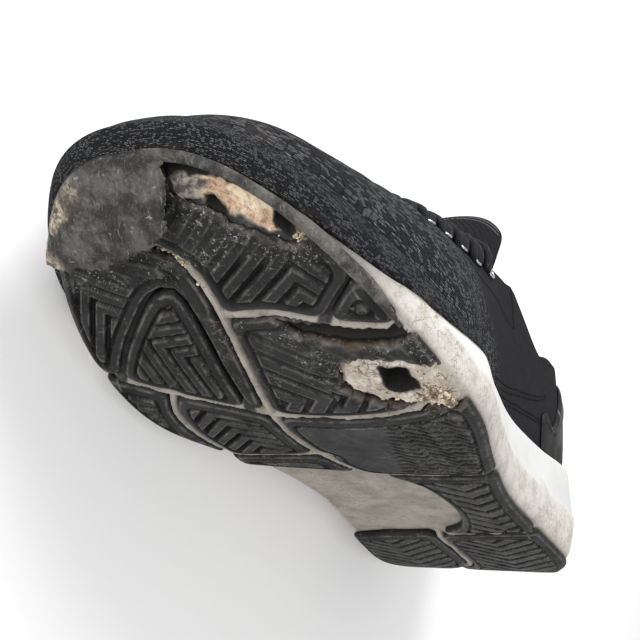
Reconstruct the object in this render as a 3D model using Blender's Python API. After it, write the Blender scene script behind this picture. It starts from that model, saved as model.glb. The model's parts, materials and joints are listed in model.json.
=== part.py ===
"""A left running shoe, worn out, lying on its inner side.

Every form is worked out in the shoe's own axes: x runs from heel to toe, y towards the outer side
and z up from the sole. One empty then lays the whole shoe down. Metres throughout.
"""

import math
from bisect import bisect_right

import bmesh
import bpy
from mathutils import Matrix, Vector

# Driving dimensions
LENGTH = 0.300
HEEL_RADIUS = 0.043
TOE_RADIUS = 0.112
TOE_POWER = 2.6
SPRING_START = 0.195
TOE_SPRING = 0.034
SPRING_POWER = 1.8
HEEL_BEVEL = 0.009
HEEL_BEVEL_LENGTH = 0.035
GAP = 0.0003

RUBBER = 0.0035
GROOVE = 0.003
THIN_GROOVE = 0.0018
RIM_INSET = 0.0030
LIP_INSET = 0.0060
DISH_INSET = 0.0063
UPPER_INSET = DISH_INSET + GAP
KNIT = 0.0024
COLLAR_PAD = 0.0042
TONGUE_GAP = 0.0017
TONGUE_START = 0.213
TONGUE_END = 0.099
TONGUE_FREE = 0.110
TONGUE_SPREAD = 0.50
INSOLE_THICKNESS = 0.0035
THROAT = 0.208
TOE_ROUND = 0.028

LACE_RADIUS = 0.0021
LACE_LIFT = LACE_RADIUS + 0.0008
LACE_OVER = 0.0011
LACE_SINK = 0.0030
EYELET_STATIONS = (0.198, 0.183, 0.168, 0.153, 0.138, 0.124)
EYELET_SETBACK = 7.0

# How the shoe lies: turned about z, then rolled about x, then moved over the floor
LIE_TURN = 4.34
LIE_ROLL = 98.38

# Half width and centre of the outline at each distance from the heel
OUTLINE = (
    # x, half, centre
    (0.000, 0.0430, 0.0000),
    (0.040, 0.0435, 0.0005),
    (0.080, 0.0410, 0.0025),
    (0.120, 0.0390, 0.0045),
    (0.160, 0.0455, 0.0040),
    (0.200, 0.0560, 0.0010),
    (0.235, 0.0570, -0.0020),
    (0.270, 0.0545, -0.0050),
    (0.300, 0.0520, -0.0080),
)
# Heights above the underside: the midsole's rim, and the dish that the foot stands in
SIDE_HEIGHTS = (
    # x, rim, dish
    (0.000, 0.0440, 0.0300),
    (0.050, 0.0400, 0.0290),
    (0.080, 0.0360, 0.0280),
    (0.120, 0.0330, 0.0260),
    (0.160, 0.0290, 0.0235),
    (0.200, 0.0250, 0.0210),
    (0.250, 0.0207, 0.0170),
    (0.300, 0.0145, 0.0120),
)
# The last's top line, from the heel over the instep to the toe, above the floor of a standing shoe
TOP_LINE = (
    # x, height
    (0.000, 0.1340),
    (0.060, 0.1320),
    (0.100, 0.1340),
    (0.110, 0.1210),
    (0.125, 0.1090),
    (0.140, 0.1000),
    (0.160, 0.0920),
    (0.180, 0.0850),
    (0.205, 0.0770),
    (0.240, 0.0690),
    (0.270, 0.0635),
    (0.300, 0.0620),
)
# How far up the section the upper's edge runs: 0 is the feather, 90 is the top line
EDGE = (
    # x, degrees
    (0.000, 42.0),
    (0.012, 40.0),
    (0.030, 32.5),
    (0.060, 27.0),
    (0.095, 34.0),
    (0.112, 46.0),
    (0.125, 55.0),
    (0.150, 65.0),
    (0.180, 73.0),
    (0.198, 77.0),
    (0.208, 90.0),
)
# How far down the section the tongue's edges reach
TONGUE_EDGE = (
    # x, degrees
    (0.099, 50.0),
    (0.106, 53.0),
    (0.112, 46.0),
    (0.125, 44.0),
    (0.150, 52.0),
    (0.180, 60.0),
    (0.213, 66.0),
)
# Outsole grooves as centre lines
GROOVES = (
    # name, width, points (x, y)
    ("long", GROOVE, ((0.279, -0.024), (0.275, -0.012), (0.266, -0.004), (0.248, -0.003),
                      (0.226, -0.005), (0.206, -0.008), (0.188, -0.009), (0.168, -0.006),
                      (0.150, 0.003), (0.138, 0.014))),
    ("inner_cross", GROOVE, ((0.240, -0.070), (0.231, -0.055), (0.220, -0.036), (0.212, -0.020),
                             (0.206, -0.008))),
    ("outer_cross", GROOVE, ((0.206, -0.008), (0.203, 0.012), (0.205, 0.032), (0.212, 0.052),
                             (0.218, 0.070))),
    ("outer_front", GROOVE, ((0.252, -0.003), (0.252, 0.014), (0.247, 0.030), (0.245, 0.046),
                             (0.245, 0.070))),
    ("corner", THIN_GROOVE, ((0.247, 0.026), (0.258, 0.036), (0.268, 0.047), (0.276, 0.060))),
    ("inner_edge", GROOVE, ((0.220, -0.036), (0.209, -0.041), (0.194, -0.043), (0.182, -0.042),
                            (0.171, -0.040))),
    ("inner_ring", THIN_GROOVE, ((0.228, -0.050), (0.241, -0.041), (0.253, -0.030), (0.261, -0.021),
                                 (0.262, -0.013), (0.252, -0.011), (0.234, -0.012),
                                 (0.209, -0.014))),
    ("inner_rear", GROOVE, ((0.171, -0.060), (0.171, -0.004))),
    ("outer_rear", GROOVE, ((0.152, 0.000), (0.150, 0.030), (0.153, 0.070))),
    ("heel_split", GROOVE, ((0.092, 0.000), (0.060, 0.001), (0.030, 0.000), (0.016, -0.010),
                            (-0.010, -0.022))),
    ("heel_outer", GROOVE, ((0.076, 0.000), (0.080, 0.020), (0.086, 0.060))),
)
# Bare foam under the arch
ARCH = ((0.156, -0.070), (0.158, -0.020), (0.150, 0.004), (0.140, 0.016), (0.112, 0.020),
        (0.088, 0.014), (0.078, 0.000), (0.074, -0.020), (0.070, -0.070))
# One point in each pad
PADS = (
    # name, x, y
    ("sole_toe", 0.278, 0.010),
    ("sole_inner_forefoot", 0.240, -0.025),
    ("sole_outer_corner", 0.254, 0.043),
    ("sole_outer_ball", 0.228, 0.012),
    ("sole_outer_rear", 0.178, 0.025),
    ("sole_inner_edge", 0.205, -0.049),
    ("sole_inner_ball", 0.195, -0.025),
    ("sole_inner_rear", 0.163, -0.020),
    ("sole_outer_waist", 0.120, 0.032),
    ("sole_heel_outer", 0.045, 0.022),
    ("sole_heel_inner", 0.045, -0.022),
)
# Worn through places, as ragged outlines
TOE_TEAR = ((0.310, -0.012), (0.292, -0.010), (0.287, -0.001), (0.289, 0.008), (0.282, 0.016),
            (0.279, 0.026), (0.284, 0.034), (0.300, 0.040), (0.315, 0.020))
BALL_TEAR = ((0.232, 0.034), (0.229, 0.046), (0.222, 0.060), (0.212, 0.062), (0.208, 0.050),
             (0.211, 0.040), (0.214, 0.029), (0.222, 0.026), (0.227, 0.030))
BALL_HOLE = ((0.226, 0.036), (0.225, 0.044), (0.219, 0.046), (0.216, 0.040), (0.219, 0.034))
TOE_HOLE = ((0.292, 0.006), (0.288, 0.014), (0.285, 0.021), (0.289, 0.024), (0.293, 0.016))
PEEL = ((0.318, -0.052), (0.318, -0.013), (0.291, -0.011), (0.286, -0.020), (0.283, -0.034),
        (0.285, -0.060))
FLAP_THICKNESS = 0.0018
FLAP_LIFT = 0.0052


def look_up(table, x, column):
    """A smooth curve through one column of a table whose first column is x."""
    xs = [row[0] for row in table]
    ys = [row[column] for row in table]
    x = min(max(x, xs[0]), xs[-1])
    last = len(xs) - 2
    i = max(0, min(last, bisect_right(xs, x) - 1))
    step = xs[i + 1] - xs[i]

    def slope(k):
        a, b = max(k - 1, 0), min(k + 1, last + 1)
        return (ys[b] - ys[a]) / (xs[b] - xs[a])

    t = (x - xs[i]) / step
    return (
        (2 * t**3 - 3 * t**2 + 1) * ys[i]
        + (t**3 - 2 * t**2 + t) * step * slope(i)
        + (3 * t**2 - 2 * t**3) * ys[i + 1]
        + (t**3 - t**2) * step * slope(i + 1)
    )


def rounded(distance, radius, power):
    """0 at an end and 1 from the radius on, along a quarter of a superellipse."""
    if distance >= radius:
        return 1.0
    rest = 1 - max(distance, 0.0) / radius
    return max(0.0, 1 - rest**power) ** (1 / power)


def half_width(x, inset):
    ends = rounded(x - inset, HEEL_RADIUS - inset, 2.0)
    ends *= rounded(LENGTH - inset - x, TOE_RADIUS - inset, TOE_POWER)
    return (look_up(OUTLINE, x, 1) - inset) * ends


def underside(x):
    rise = 0.0
    if x > SPRING_START:
        rise = TOE_SPRING * ((x - SPRING_START) / (LENGTH - SPRING_START)) ** SPRING_POWER
    if x < HEEL_BEVEL_LENGTH:
        rise = HEEL_BEVEL * (1 - x / HEEL_BEVEL_LENGTH) ** 2
    return rise


def rim(x):
    return underside(x) + look_up(SIDE_HEIGHTS, x, 1)


def dish(x):
    return underside(x) + look_up(SIDE_HEIGHTS, x, 2)


def station_fractions():
    """Fractions of the length, closer together at both ends and where the throat starts."""
    rear = [0.5 * (1 - math.cos(math.pi * i / 20)) for i in range(21)]
    front = [math.sin(0.5 * math.pi * i / 14) for i in range(1, 15)]
    throat = THROAT / LENGTH
    return [throat * f for f in rear] + [throat + (1 - throat) * f for f in front]


FRACTIONS = station_fractions()


def stations(inset):
    return [inset + f * (LENGTH - 2 * inset) for f in FRACTIONS]


def last_point(fraction, degrees, side, inset):
    """A point of the last: the section's angle runs from the feather, 0, to the top line, 90."""
    x = inset + fraction * (LENGTH - 2 * inset)
    deeper = inset - UPPER_INSET
    floor = dish(x) + GAP
    height = look_up(TOP_LINE, x, 1) - floor - deeper
    height *= rounded(LENGTH - inset - x, TOE_ROUND, 2.2)
    a = math.radians(degrees)
    up = max(math.sin(a), 0.0) ** 0.88
    y = look_up(OUTLINE, x, 2) + side * half_width(x, inset) * max(math.cos(a), 0.0) ** 0.75
    heel = max(0.0, 1 - x / 0.075) ** 2
    free = max(0.0, (up - 0.16) / 0.84)
    lean = heel * (0.0075 * free**2 - 0.0100 * free * (1 - free))
    return Vector((x + lean, y, floor + height * up))


def edge_angle(fraction):
    x = fraction * LENGTH
    return 90.0 if x >= THROAT - 1e-6 else look_up(EDGE, x, 1)


def wall(fraction, share):
    """The upper's thickness, padded towards the collar."""
    x = fraction * LENGTH
    behind = min(max((0.122 - x) / 0.030, 0.0), 1.0)
    top = min(max((share - 0.45) / 0.35, 0.0), 1.0)
    return KNIT + COLLAR_PAD * behind * top


def material(name, colour, roughness, metallic=0.0):
    made = bpy.data.materials.new(name)
    made.use_nodes = True
    shader = made.node_tree.nodes["Principled BSDF"]
    shader.inputs["Base Color"].default_value = (*colour, 1.0)
    shader.inputs["Roughness"].default_value = roughness
    shader.inputs["Metallic"].default_value = metallic
    return made


def solid(name, bm, look, hidden=False):
    """An object from a bmesh whose faces are turned outwards."""
    bmesh.ops.remove_doubles(bm, verts=bm.verts, dist=1e-7)
    bmesh.ops.dissolve_degenerate(bm, edges=bm.edges, dist=1e-8)
    bmesh.ops.recalc_face_normals(bm, faces=bm.faces)
    mesh = bpy.data.meshes.new(name)
    bm.to_mesh(mesh)
    bm.free()
    made = bpy.data.objects.new(name, mesh)
    bpy.context.scene.collection.objects.link(made)
    if look:
        mesh.materials.append(look)
    made.hide_render = hidden
    if hidden:
        made.display_type = "WIRE"
    return made


def plan_ring(bm, inset, height):
    """Points round the outline: heel, outer side, toe, inner side. height is a function of x."""
    xs = stations(inset)
    outer, inner = [], []
    for x in xs:
        half, centre = half_width(x, inset), look_up(OUTLINE, x, 2)
        outer.append(bm.verts.new((x, centre + half, height(x))))
        inner.append(bm.verts.new((x, centre - half, height(x))))
    return outer, inner


def band(bm, low, high):
    """Faces between two rings, on both sides."""
    for a, b in zip(low, high):
        for i in range(len(a) - 1):
            bm.faces.new((a[i], a[i + 1], b[i + 1], b[i]))


def ladder(bm, ring):
    """Closes a ring with one face from side to side at each station."""
    outer, inner = ring
    for i in range(len(outer) - 1):
        bm.faces.new((outer[i], outer[i + 1], inner[i + 1], inner[i]))


def stack(name, rings, look):
    """A solid from rings of (inset, height), closed below and above."""
    bm = bmesh.new()
    made = [plan_ring(bm, inset, height) for inset, height in rings]
    for low, high in zip(made, made[1:]):
        band(bm, low, high)
    ladder(bm, made[0])
    ladder(bm, made[-1])
    return solid(name, bm, look)


def prism(name, outline, low, high):
    """A hidden cutter: an outline in plan, drawn out upwards."""
    bm = bmesh.new()
    base = [bm.verts.new((x, y, low)) for x, y in outline]
    top = [bm.verts.new((x, y, high)) for x, y in outline]
    bm.faces.new(base)
    bm.faces.new(top)
    for i in range(len(base)):
        j = (i + 1) % len(base)
        bm.faces.new((base[i], base[j], top[j], top[i]))
    return solid(name, bm, None, hidden=True)


def ribbon(points, width):
    """The outline of a strip of one width along a line of points."""
    line = [Vector(p) for p in points]
    left, right = [], []
    for i, p in enumerate(line):
        before = (p - line[i - 1]).normalized() if i else (line[1] - p).normalized()
        after = (line[i + 1] - p).normalized() if i + 1 < len(line) else before
        along = (before + after).normalized()
        across = Vector((-along.y, along.x)) * (0.5 * width / max(along.dot(before), 0.5))
        left.append(p + across)
        right.append(p - across)
    return [tuple(p) for p in left + right[::-1]]


def cut(target, cutter, operation="DIFFERENCE"):
    step = target.modifiers.new(cutter.name, "BOOLEAN")
    step.operation = operation
    step.object = cutter
    step.solver = "EXACT"


def evaluated_bmesh(obj):
    graph = bpy.context.evaluated_depsgraph_get()
    bm = bmesh.new()
    bm.from_mesh(obj.evaluated_get(graph).to_mesh())
    return bm


def islands(bm):
    """The connected sets of faces."""
    left = set(bm.faces)
    while left:
        start = left.pop()
        found, queue = {start}, [start]
        while queue:
            for edge in queue.pop().edges:
                for face in edge.link_faces:
                    if face in left:
                        left.discard(face)
                        found.add(face)
                        queue.append(face)
        yield found


def make_midsole(foam):
    made = stack("midsole", (
        (0.0034, lambda x: underside(x) + RUBBER + GAP),
        (0.0000, lambda x: underside(x) + 0.0075),
        (-0.0012, lambda x: underside(x) + 0.45 * look_up(SIDE_HEIGHTS, x, 1) + 0.002),
        (0.0006, lambda x: underside(x) + 0.66 * look_up(SIDE_HEIGHTS, x, 1) + 0.002),
        (RIM_INSET, rim),
        (LIP_INSET, lambda x: rim(x) - 0.0003),
        (DISH_INSET, dish),
    ), foam)
    for name, outline, depth in (
        ("ball_tear", BALL_TEAR, 0.0065),
        ("ball_hole", BALL_HOLE, 0.0130),
        ("toe_hole", TOE_HOLE, 0.0080),
    ):
        x = sum(p[0] for p in outline) / len(outline)
        cut(made, prism("cut_" + name, outline, -0.02, underside(x) + depth))
    return made


def make_outsole(rubber):
    slab = stack("outsole_slab", (
        (0.0022, underside),
        (0.0006, lambda x: underside(x) + 0.0016),
        (0.0014, lambda x: underside(x) + RUBBER),
    ), rubber)
    for name, width, points in GROOVES:
        cut(slab, prism("cut_" + name, ribbon(points, width), -0.02, 0.08))
    for name, outline in (("arch", ARCH), ("toe_tear", TOE_TEAR), ("peel", PEEL)):
        cut(slab, prism("cut_" + name, outline, -0.02, 0.08))
    cut(slab, bpy.data.objects["cut_ball_tear"])
    bm = evaluated_bmesh(slab)
    slab.hide_render = True
    slab.display_type = "WIRE"
    for faces in islands(bm):
        pad = bmesh.new()
        copies = {v: pad.verts.new(v.co) for f in faces for v in f.verts}
        for f in faces:
            pad.faces.new([copies[v] for v in f.verts])
        solid(pad_name(faces), pad, rubber)
    bm.free()


def pad_name(faces):
    """The name of the pad whose marked point lies in the plan of these faces."""
    for name, x, y in PADS:
        for face in faces:
            if abs(face.normal.z) < 0.5:
                continue
            ring = [(v.co.x, v.co.y) for v in face.verts]
            inside = False
            for (ax, ay), (bx, by) in zip(ring, ring[1:] + ring[:1]):
                if (ay > y) != (by > y) and x < (bx - ax) * (y - ay) / (by - ay) + ax:
                    inside = not inside
            if inside:
                return name
    raise ValueError("a piece of the outsole has no name in PADS")


def make_flap(rubber):
    """The peeled piece: it still holds at the toe's edge and stands off further towards its free edge."""
    bm = bmesh.new()
    rows, columns = 5, 7
    grid = []
    for level in (0.0, FLAP_THICKNESS):
        sheet = []
        for i in range(rows + 1):
            row = []
            for j in range(columns + 1):
                u, v = i / rows, j / columns
                y = -0.0430 + 0.0300 * v
                edge = LENGTH - 0.003
                for _ in range(40):
                    half, centre = half_width(edge, 0.0016), look_up(OUTLINE, edge, 2)
                    if centre - half < y:
                        break
                    edge -= 0.0006
                x = edge - u * (0.0135 + 0.004 * math.sin(3 * v))
                lift = 0.0006 + FLAP_LIFT * (0.25 * u + 0.75 * v * u + 0.25 * v)
                row.append(bm.verts.new((x, y, underside(x) + RUBBER - 0.0035 - lift - level)))
            sheet.append(row)
        grid.append(sheet)
    box_faces(bm, grid)
    return solid("toe_flap", bm, rubber)


def box_faces(bm, grid):
    """Closes two equal sheets of points into one body."""
    rows, columns = len(grid[0]) - 1, len(grid[0][0]) - 1
    for sheet in grid:
        for i in range(rows):
            for j in range(columns):
                bm.faces.new((sheet[i][j], sheet[i + 1][j], sheet[i + 1][j + 1], sheet[i][j + 1]))
    a, b = grid
    for i in range(rows):
        for j in (0, columns):
            bm.faces.new((a[i][j], a[i + 1][j], b[i + 1][j], b[i][j]))
    for j in range(columns):
        for i in (0, rows):
            bm.faces.new((a[i][j], a[i][j + 1], b[i][j + 1], b[i][j]))


def make_upper(knit):
    """Outer and inner skins by the same function, joined at the feather and along collar and throat."""
    rows = 9
    bm = bmesh.new()
    skins = []
    for inside in (False, True):
        sides = []
        for side in (1, -1):
            sheet = []
            for fraction in FRACTIONS:
                edge = edge_angle(fraction)
                column = []
                for j in range(rows + 1):
                    share = j / rows
                    inset = UPPER_INSET
                    if inside:
                        inset += wall(fraction, share)
                    column.append(bm.verts.new(last_point(fraction, edge * share, side, inset)))
                sheet.append(column)
            sides.append(sheet)
        skins.append(sides)
    for sides in skins:
        for sheet in sides:
            for i in range(len(sheet) - 1):
                for j in range(rows):
                    bm.faces.new((sheet[i][j], sheet[i + 1][j], sheet[i + 1][j + 1], sheet[i][j + 1]))
    throat = sum(1 for f in FRACTIONS if edge_angle(f) < 90.0)
    for outer, inner in zip(*skins):
        for i in range(len(outer) - 1):
            bm.faces.new((outer[i][0], outer[i + 1][0], inner[i + 1][0], inner[i][0]))
        crest = []
        for i in range(throat + 1):
            middle = (outer[i][rows].co + inner[i][rows].co) / 2
            thick = (outer[i][rows].co - inner[i][rows].co).length
            crest.append(bm.verts.new(middle + Vector((0, 0, 0.35 * thick if i < throat else 0))))
        for skin in (outer, inner):
            for i in range(throat):
                bm.faces.new((skin[i][rows], skin[i + 1][rows], crest[i + 1], crest[i]))
    return solid("upper", bm, knit)


def make_counter(plastic):
    """The overlay at the heel, between two larger skins of the upper's own function."""
    bm = bmesh.new()
    rows = 6
    front = 0.064
    grid = []
    for inset in (UPPER_INSET - GAP - 0.0001, UPPER_INSET - 0.0019):
        sheet = []
        line = [(f, s) for s, order in ((-1, -1), (1, 1)) for f in FRACTIONS[::order]
                if f * LENGTH <= front and (f > 0 or s > 0)]
        for fraction, side in line:
            x = fraction * LENGTH
            low = section_angle(fraction, side, inset, rim(inset + x) + 0.0008)
            tall = 0.026 + 0.016 * math.cos(0.5 * math.pi * min(x / front, 1.0))
            high = section_angle(fraction, side, inset, rim(inset + x) + tall)
            sheet.append([bm.verts.new(last_point(fraction, low + (high - low) * j / rows, side, inset))
                          for j in range(rows + 1)])
        grid.append(sheet)
    box_faces(bm, grid)
    return solid("heel_counter", bm, plastic)


def section_angle(fraction, side, inset, height):
    """The section's angle at which the last reaches a height."""
    low, high = 0.0, 90.0
    for _ in range(30):
        middle = (low + high) / 2
        if last_point(fraction, middle, side, inset).z < height:
            low = middle
        else:
            high = middle
    return low


def make_insole(cloth):
    inset = UPPER_INSET + KNIT + 0.0006
    toe = inset + 0.0016
    return stack("insole", (
        (toe, lambda x: dish(x) + GAP),
        (toe, lambda x: dish(x) + GAP + INSOLE_THICKNESS),
    ), cloth)


def tongue_point(x, across):
    """A point of the tongue's outer face: across runs from -1, its inner edge, to 1."""
    inset = UPPER_INSET + KNIT + TONGUE_GAP
    fraction = (x - inset) / (LENGTH - 2 * inset)
    free = min(max((TONGUE_FREE - x) / (TONGUE_FREE - TONGUE_END), 0.0), 1.0)
    reach = (90 - look_up(TONGUE_EDGE, x, 1)) * rounded(x - TONGUE_END + 0.0005, 0.015, 2.2)
    degrees = 90 - reach * abs(across)
    under = min(max((edge_angle(fraction) + 16 - degrees) / 12, 0.0), 1.0)
    deeper = inset + under * (1 - free) * (wall(fraction, 1.0) - KNIT)
    point = last_point(fraction, degrees, -1 if across < 0 else 1, deeper)
    centre = look_up(OUTLINE, x, 2)
    point.y = centre + (point.y - centre) * (1 + TONGUE_SPREAD * free)
    return point


def make_tongue(cloth):
    """A padded strip under the throat, thicker and wider where it stands free."""
    bm = bmesh.new()
    columns, rows = 10, 20
    sheet = []
    for i in range(rows + 1):
        t = i / rows
        x = TONGUE_END + (TONGUE_START - TONGUE_END) * t**1.7
        sheet.append([tongue_point(x, 2 * j / columns - 1) for j in range(columns + 1)])
    outer, inner = [], []
    for i, row in enumerate(sheet):
        above, below = sheet[max(i - 1, 0)], sheet[min(i + 1, rows)]
        outs, ins = [], []
        for j, p in enumerate(row):
            along = below[j] - above[j]
            across = row[min(j + 1, columns)] - row[max(j - 1, 0)]
            normal = across.cross(along).normalized()
            if normal.z < 0:
                normal = -normal
            padding = 0.0028 + 0.0042 * min(max((0.150 - p.x) / 0.03, 0.0), 1.0)
            padding *= rounded(1 - abs(2 * j / columns - 1) + 0.12, 0.5, 2.0)
            outs.append(bm.verts.new(p))
            ins.append(bm.verts.new(p - normal * padding * rounded((i + 0.6) / 4, 1.0, 2.0)))
        outer.append(outs)
        inner.append(ins)
    box_faces(bm, [outer, inner])
    return solid("tongue", bm, cloth)


def lace_run(name, start, end, lift, cloth):
    """A round lace from one eyelet over the throat to another, each given as (x, side, setback)."""
    bm = bmesh.new()
    steps, sides = 10, 6
    path = []
    for i in range(steps + 1):
        t = i / steps
        x = start[0] + (end[0] - start[0]) * t
        side = start[1] if t < 0.5 else end[1]
        place = start if t < 0.5 else end
        edge = look_up(EDGE, place[0], 1)
        degrees = 90 - (90 - edge + place[2]) * abs(1 - 2 * t)
        over_tongue = min(max((degrees - edge - 2) / 10, 0.0), 1.0)
        inset = UPPER_INSET - LACE_LIFT + LACE_SINK * over_tongue - lift * math.sin(math.pi * t)
        path.append(last_point(x / LENGTH, degrees, side, inset))
    rings = []
    for i, p in enumerate(path):
        along = (path[min(i + 1, steps)] - path[max(i - 1, 0)]).normalized()
        across = along.cross(Vector((0, 0, 1))).normalized()
        up = across.cross(along)
        ring = []
        for k in range(sides):
            a = 2 * math.pi * k / sides
            ring.append(bm.verts.new(p + LACE_RADIUS * (across * math.cos(a) + up * math.sin(a))))
        rings.append(ring)
    for a, b in zip(rings, rings[1:]):
        for k in range(sides):
            m = (k + 1) % sides
            bm.faces.new((a[k], a[m], b[m], b[k]))
    bm.faces.new(rings[0])
    bm.faces.new(rings[-1])
    return solid(name, bm, cloth)


def make_laces(cloth):
    shift = 0.0026
    first = EYELET_STATIONS[0]
    lace_run("lace_front", (first + shift, 1, EYELET_SETBACK), (first + shift, -1, EYELET_SETBACK), 0.0, cloth)
    for n, (front, rear) in enumerate(zip(EYELET_STATIONS, EYELET_STATIONS[1:]), 1):
        ends = front - shift, rear + shift
        a = lace_run(f"lace_cross_{n}", (ends[0], 1, EYELET_SETBACK), (ends[1], -1, EYELET_SETBACK), 0.0, cloth)
        b = lace_run(f"cut_lace_{n}", (ends[0], -1, EYELET_SETBACK), (ends[1], 1, EYELET_SETBACK), LACE_OVER, None)
        b.hide_render = True
        b.display_type = "WIRE"
        cut(a, b, "UNION")


def lay_down():
    """One empty turns the standing shoe onto its inner side and sets it over the floor's origin."""
    turn = Matrix.Rotation(math.radians(LIE_ROLL), 4, "X") @ Matrix.Rotation(math.radians(LIE_TURN), 4, "Z")
    graph = bpy.context.evaluated_depsgraph_get()
    corners = []
    for obj in bpy.context.scene.objects:
        if obj.type == "MESH" and not obj.hide_render:
            corners += [turn @ v.co for v in obj.evaluated_get(graph).to_mesh().vertices]
    low = Vector([min(c[i] for c in corners) for i in range(3)])
    high = Vector([max(c[i] for c in corners) for i in range(3)])
    shift = Vector((-(low.x + high.x) / 2, -(low.y + high.y) / 2, -low.z))
    shoe = bpy.data.objects.new("shoe", None)
    bpy.context.scene.collection.objects.link(shoe)
    for obj in list(bpy.context.scene.objects):
        if obj.type == "MESH":
            obj.parent = shoe
    shoe.matrix_world = Matrix.Translation(shift) @ turn


def main():
    for obj in list(bpy.data.objects):
        bpy.data.objects.remove(obj, do_unlink=True)
    foam = material("foam", (0.62, 0.60, 0.55), 0.75)
    rubber = material("rubber", (0.035, 0.035, 0.037), 0.62)
    knit = material("knit", (0.045, 0.046, 0.050), 0.90)
    plastic = material("counter_plastic", (0.060, 0.061, 0.065), 0.55)
    lining = material("tongue_cloth", (0.030, 0.030, 0.033), 0.85)
    sock = material("insole_cloth", (0.050, 0.050, 0.055), 0.90)
    cord = material("lace_cloth", (0.020, 0.020, 0.022), 0.80)
    make_midsole(foam)
    make_outsole(rubber)
    make_flap(rubber)
    make_upper(knit)
    make_counter(plastic)
    make_insole(sock)
    make_tongue(lining)
    make_laces(cord)
    bpy.context.view_layer.update()
    lay_down()


main()
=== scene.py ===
"""Looks of a worn out left running shoe that lies on its inner side.

Every form is worked out in the shoe's own axes, in metres: x runs from heel to toe, y towards the
outer side and z up from the sole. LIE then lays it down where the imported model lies.
"""

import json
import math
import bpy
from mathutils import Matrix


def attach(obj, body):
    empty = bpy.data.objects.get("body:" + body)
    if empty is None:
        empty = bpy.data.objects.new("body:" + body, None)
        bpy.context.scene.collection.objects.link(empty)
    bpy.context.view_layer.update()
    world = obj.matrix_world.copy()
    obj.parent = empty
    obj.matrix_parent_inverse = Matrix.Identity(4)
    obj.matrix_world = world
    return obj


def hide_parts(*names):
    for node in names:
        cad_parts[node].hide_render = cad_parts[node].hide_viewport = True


bl_info = {
    "name": "Worn Running Shoe",
    "version": (1, 0, 0),
    "blender": (4, 5, 0),
    "location": "View3D > Sidebar > Worn Shoe",
    "description": "Makes the sole, upper, laces and wear of a running shoe over its packed model",
    "category": "Object",
}

import bmesh
import bpy
import numpy as np
from bpy.props import FloatProperty, FloatVectorProperty, PointerProperty
from mathutils import Matrix, Vector

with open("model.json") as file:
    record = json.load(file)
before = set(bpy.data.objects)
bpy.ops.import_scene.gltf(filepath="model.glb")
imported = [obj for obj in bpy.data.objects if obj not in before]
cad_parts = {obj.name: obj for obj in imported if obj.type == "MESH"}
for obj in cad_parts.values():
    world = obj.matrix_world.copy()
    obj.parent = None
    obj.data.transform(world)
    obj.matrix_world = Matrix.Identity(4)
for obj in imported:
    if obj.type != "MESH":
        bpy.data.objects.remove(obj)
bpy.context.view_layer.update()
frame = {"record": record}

# ---------------------------------------------------------------- sizes of the shoe

LENGTH = 0.3
HEEL_RADIUS = 0.043
TOE_RADIUS = 0.112
TOE_POWER = 2.6
SPRING_START = 0.195
TOE_SPRING = 0.034
SPRING_POWER = 1.8
HEEL_BEVEL = 0.009
HEEL_BEVEL_LENGTH = 0.035
GAP = 0.0003
RUBBER = 0.0035
RIM_INSET = 0.003
LIP_INSET = 0.006
DISH_INSET = 0.0063
FOOT_INSET = 0.0034
UPPER_INSET = DISH_INSET + GAP
KNIT = 0.0024
COLLAR_PAD = 0.0042
TONGUE_GAP = 0.0017
TONGUE_START = 0.213
TONGUE_END = 0.099
TONGUE_FREE = 0.11
TONGUE_SPREAD = 0.5
INSOLE_THICKNESS = 0.0035
THROAT = 0.208
TOE_ROUND = 0.028
EYELET_DROP = 7
LACE_THICKNESS = 0.0032
LIE_TURN = 4.34
LIE_ROLL = 98.38
HEEL_FACE = Vector((0.055, 0.02, 0))


def mm(*points):
    """Points given in millimetres, in metres."""
    return np.array(points) / 1000


# x, half the width, its middle
OUTLINE = mm((0, 43, 0), (40, 43.5, 0.5), (80, 41, 2.5), (120, 39, 4.5), (160, 45.5, 4), (200, 56, 1),
             (235, 57, -2), (270, 54.5, -5), (300, 52, -8))
# x, height of the rim, height of the dish
SIDE_HEIGHTS = mm((0, 44, 30), (50, 40, 29), (80, 36, 28), (120, 33, 26), (160, 29, 23.5),
                  (200, 25, 21), (250, 20.7, 17), (300, 14.5, 12))
# x, height of the top of the upper
TOP_LINE = mm((0, 134), (60, 132), (100, 134), (110, 121), (125, 109), (140, 100), (160, 92), (180, 85),
              (205, 77), (240, 69), (270, 63.5), (300, 62))
# x, degrees up the section where the upper ends
EDGE = ((0, 42), (0.012, 40), (0.03, 32.5), (0.06, 27), (0.095, 34), (0.112, 46), (0.125, 55),
        (0.15, 65), (0.18, 73), (0.198, 77), (0.208, 90))
# x, degrees up the section where the tongue ends
TONGUE_EDGE = ((0.099, 50), (0.106, 53), (0.112, 46), (0.125, 44), (0.15, 52), (0.18, 60), (0.213, 66))
# x, how far down the foam's side the knit reaches, as a height over the underside
DROP_LINE = mm((180, 28.5), (200, 23.5), (225, 16.5), (250, 9.2), (265, 5.6), (280, 3.4), (300, 1.8))
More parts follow.
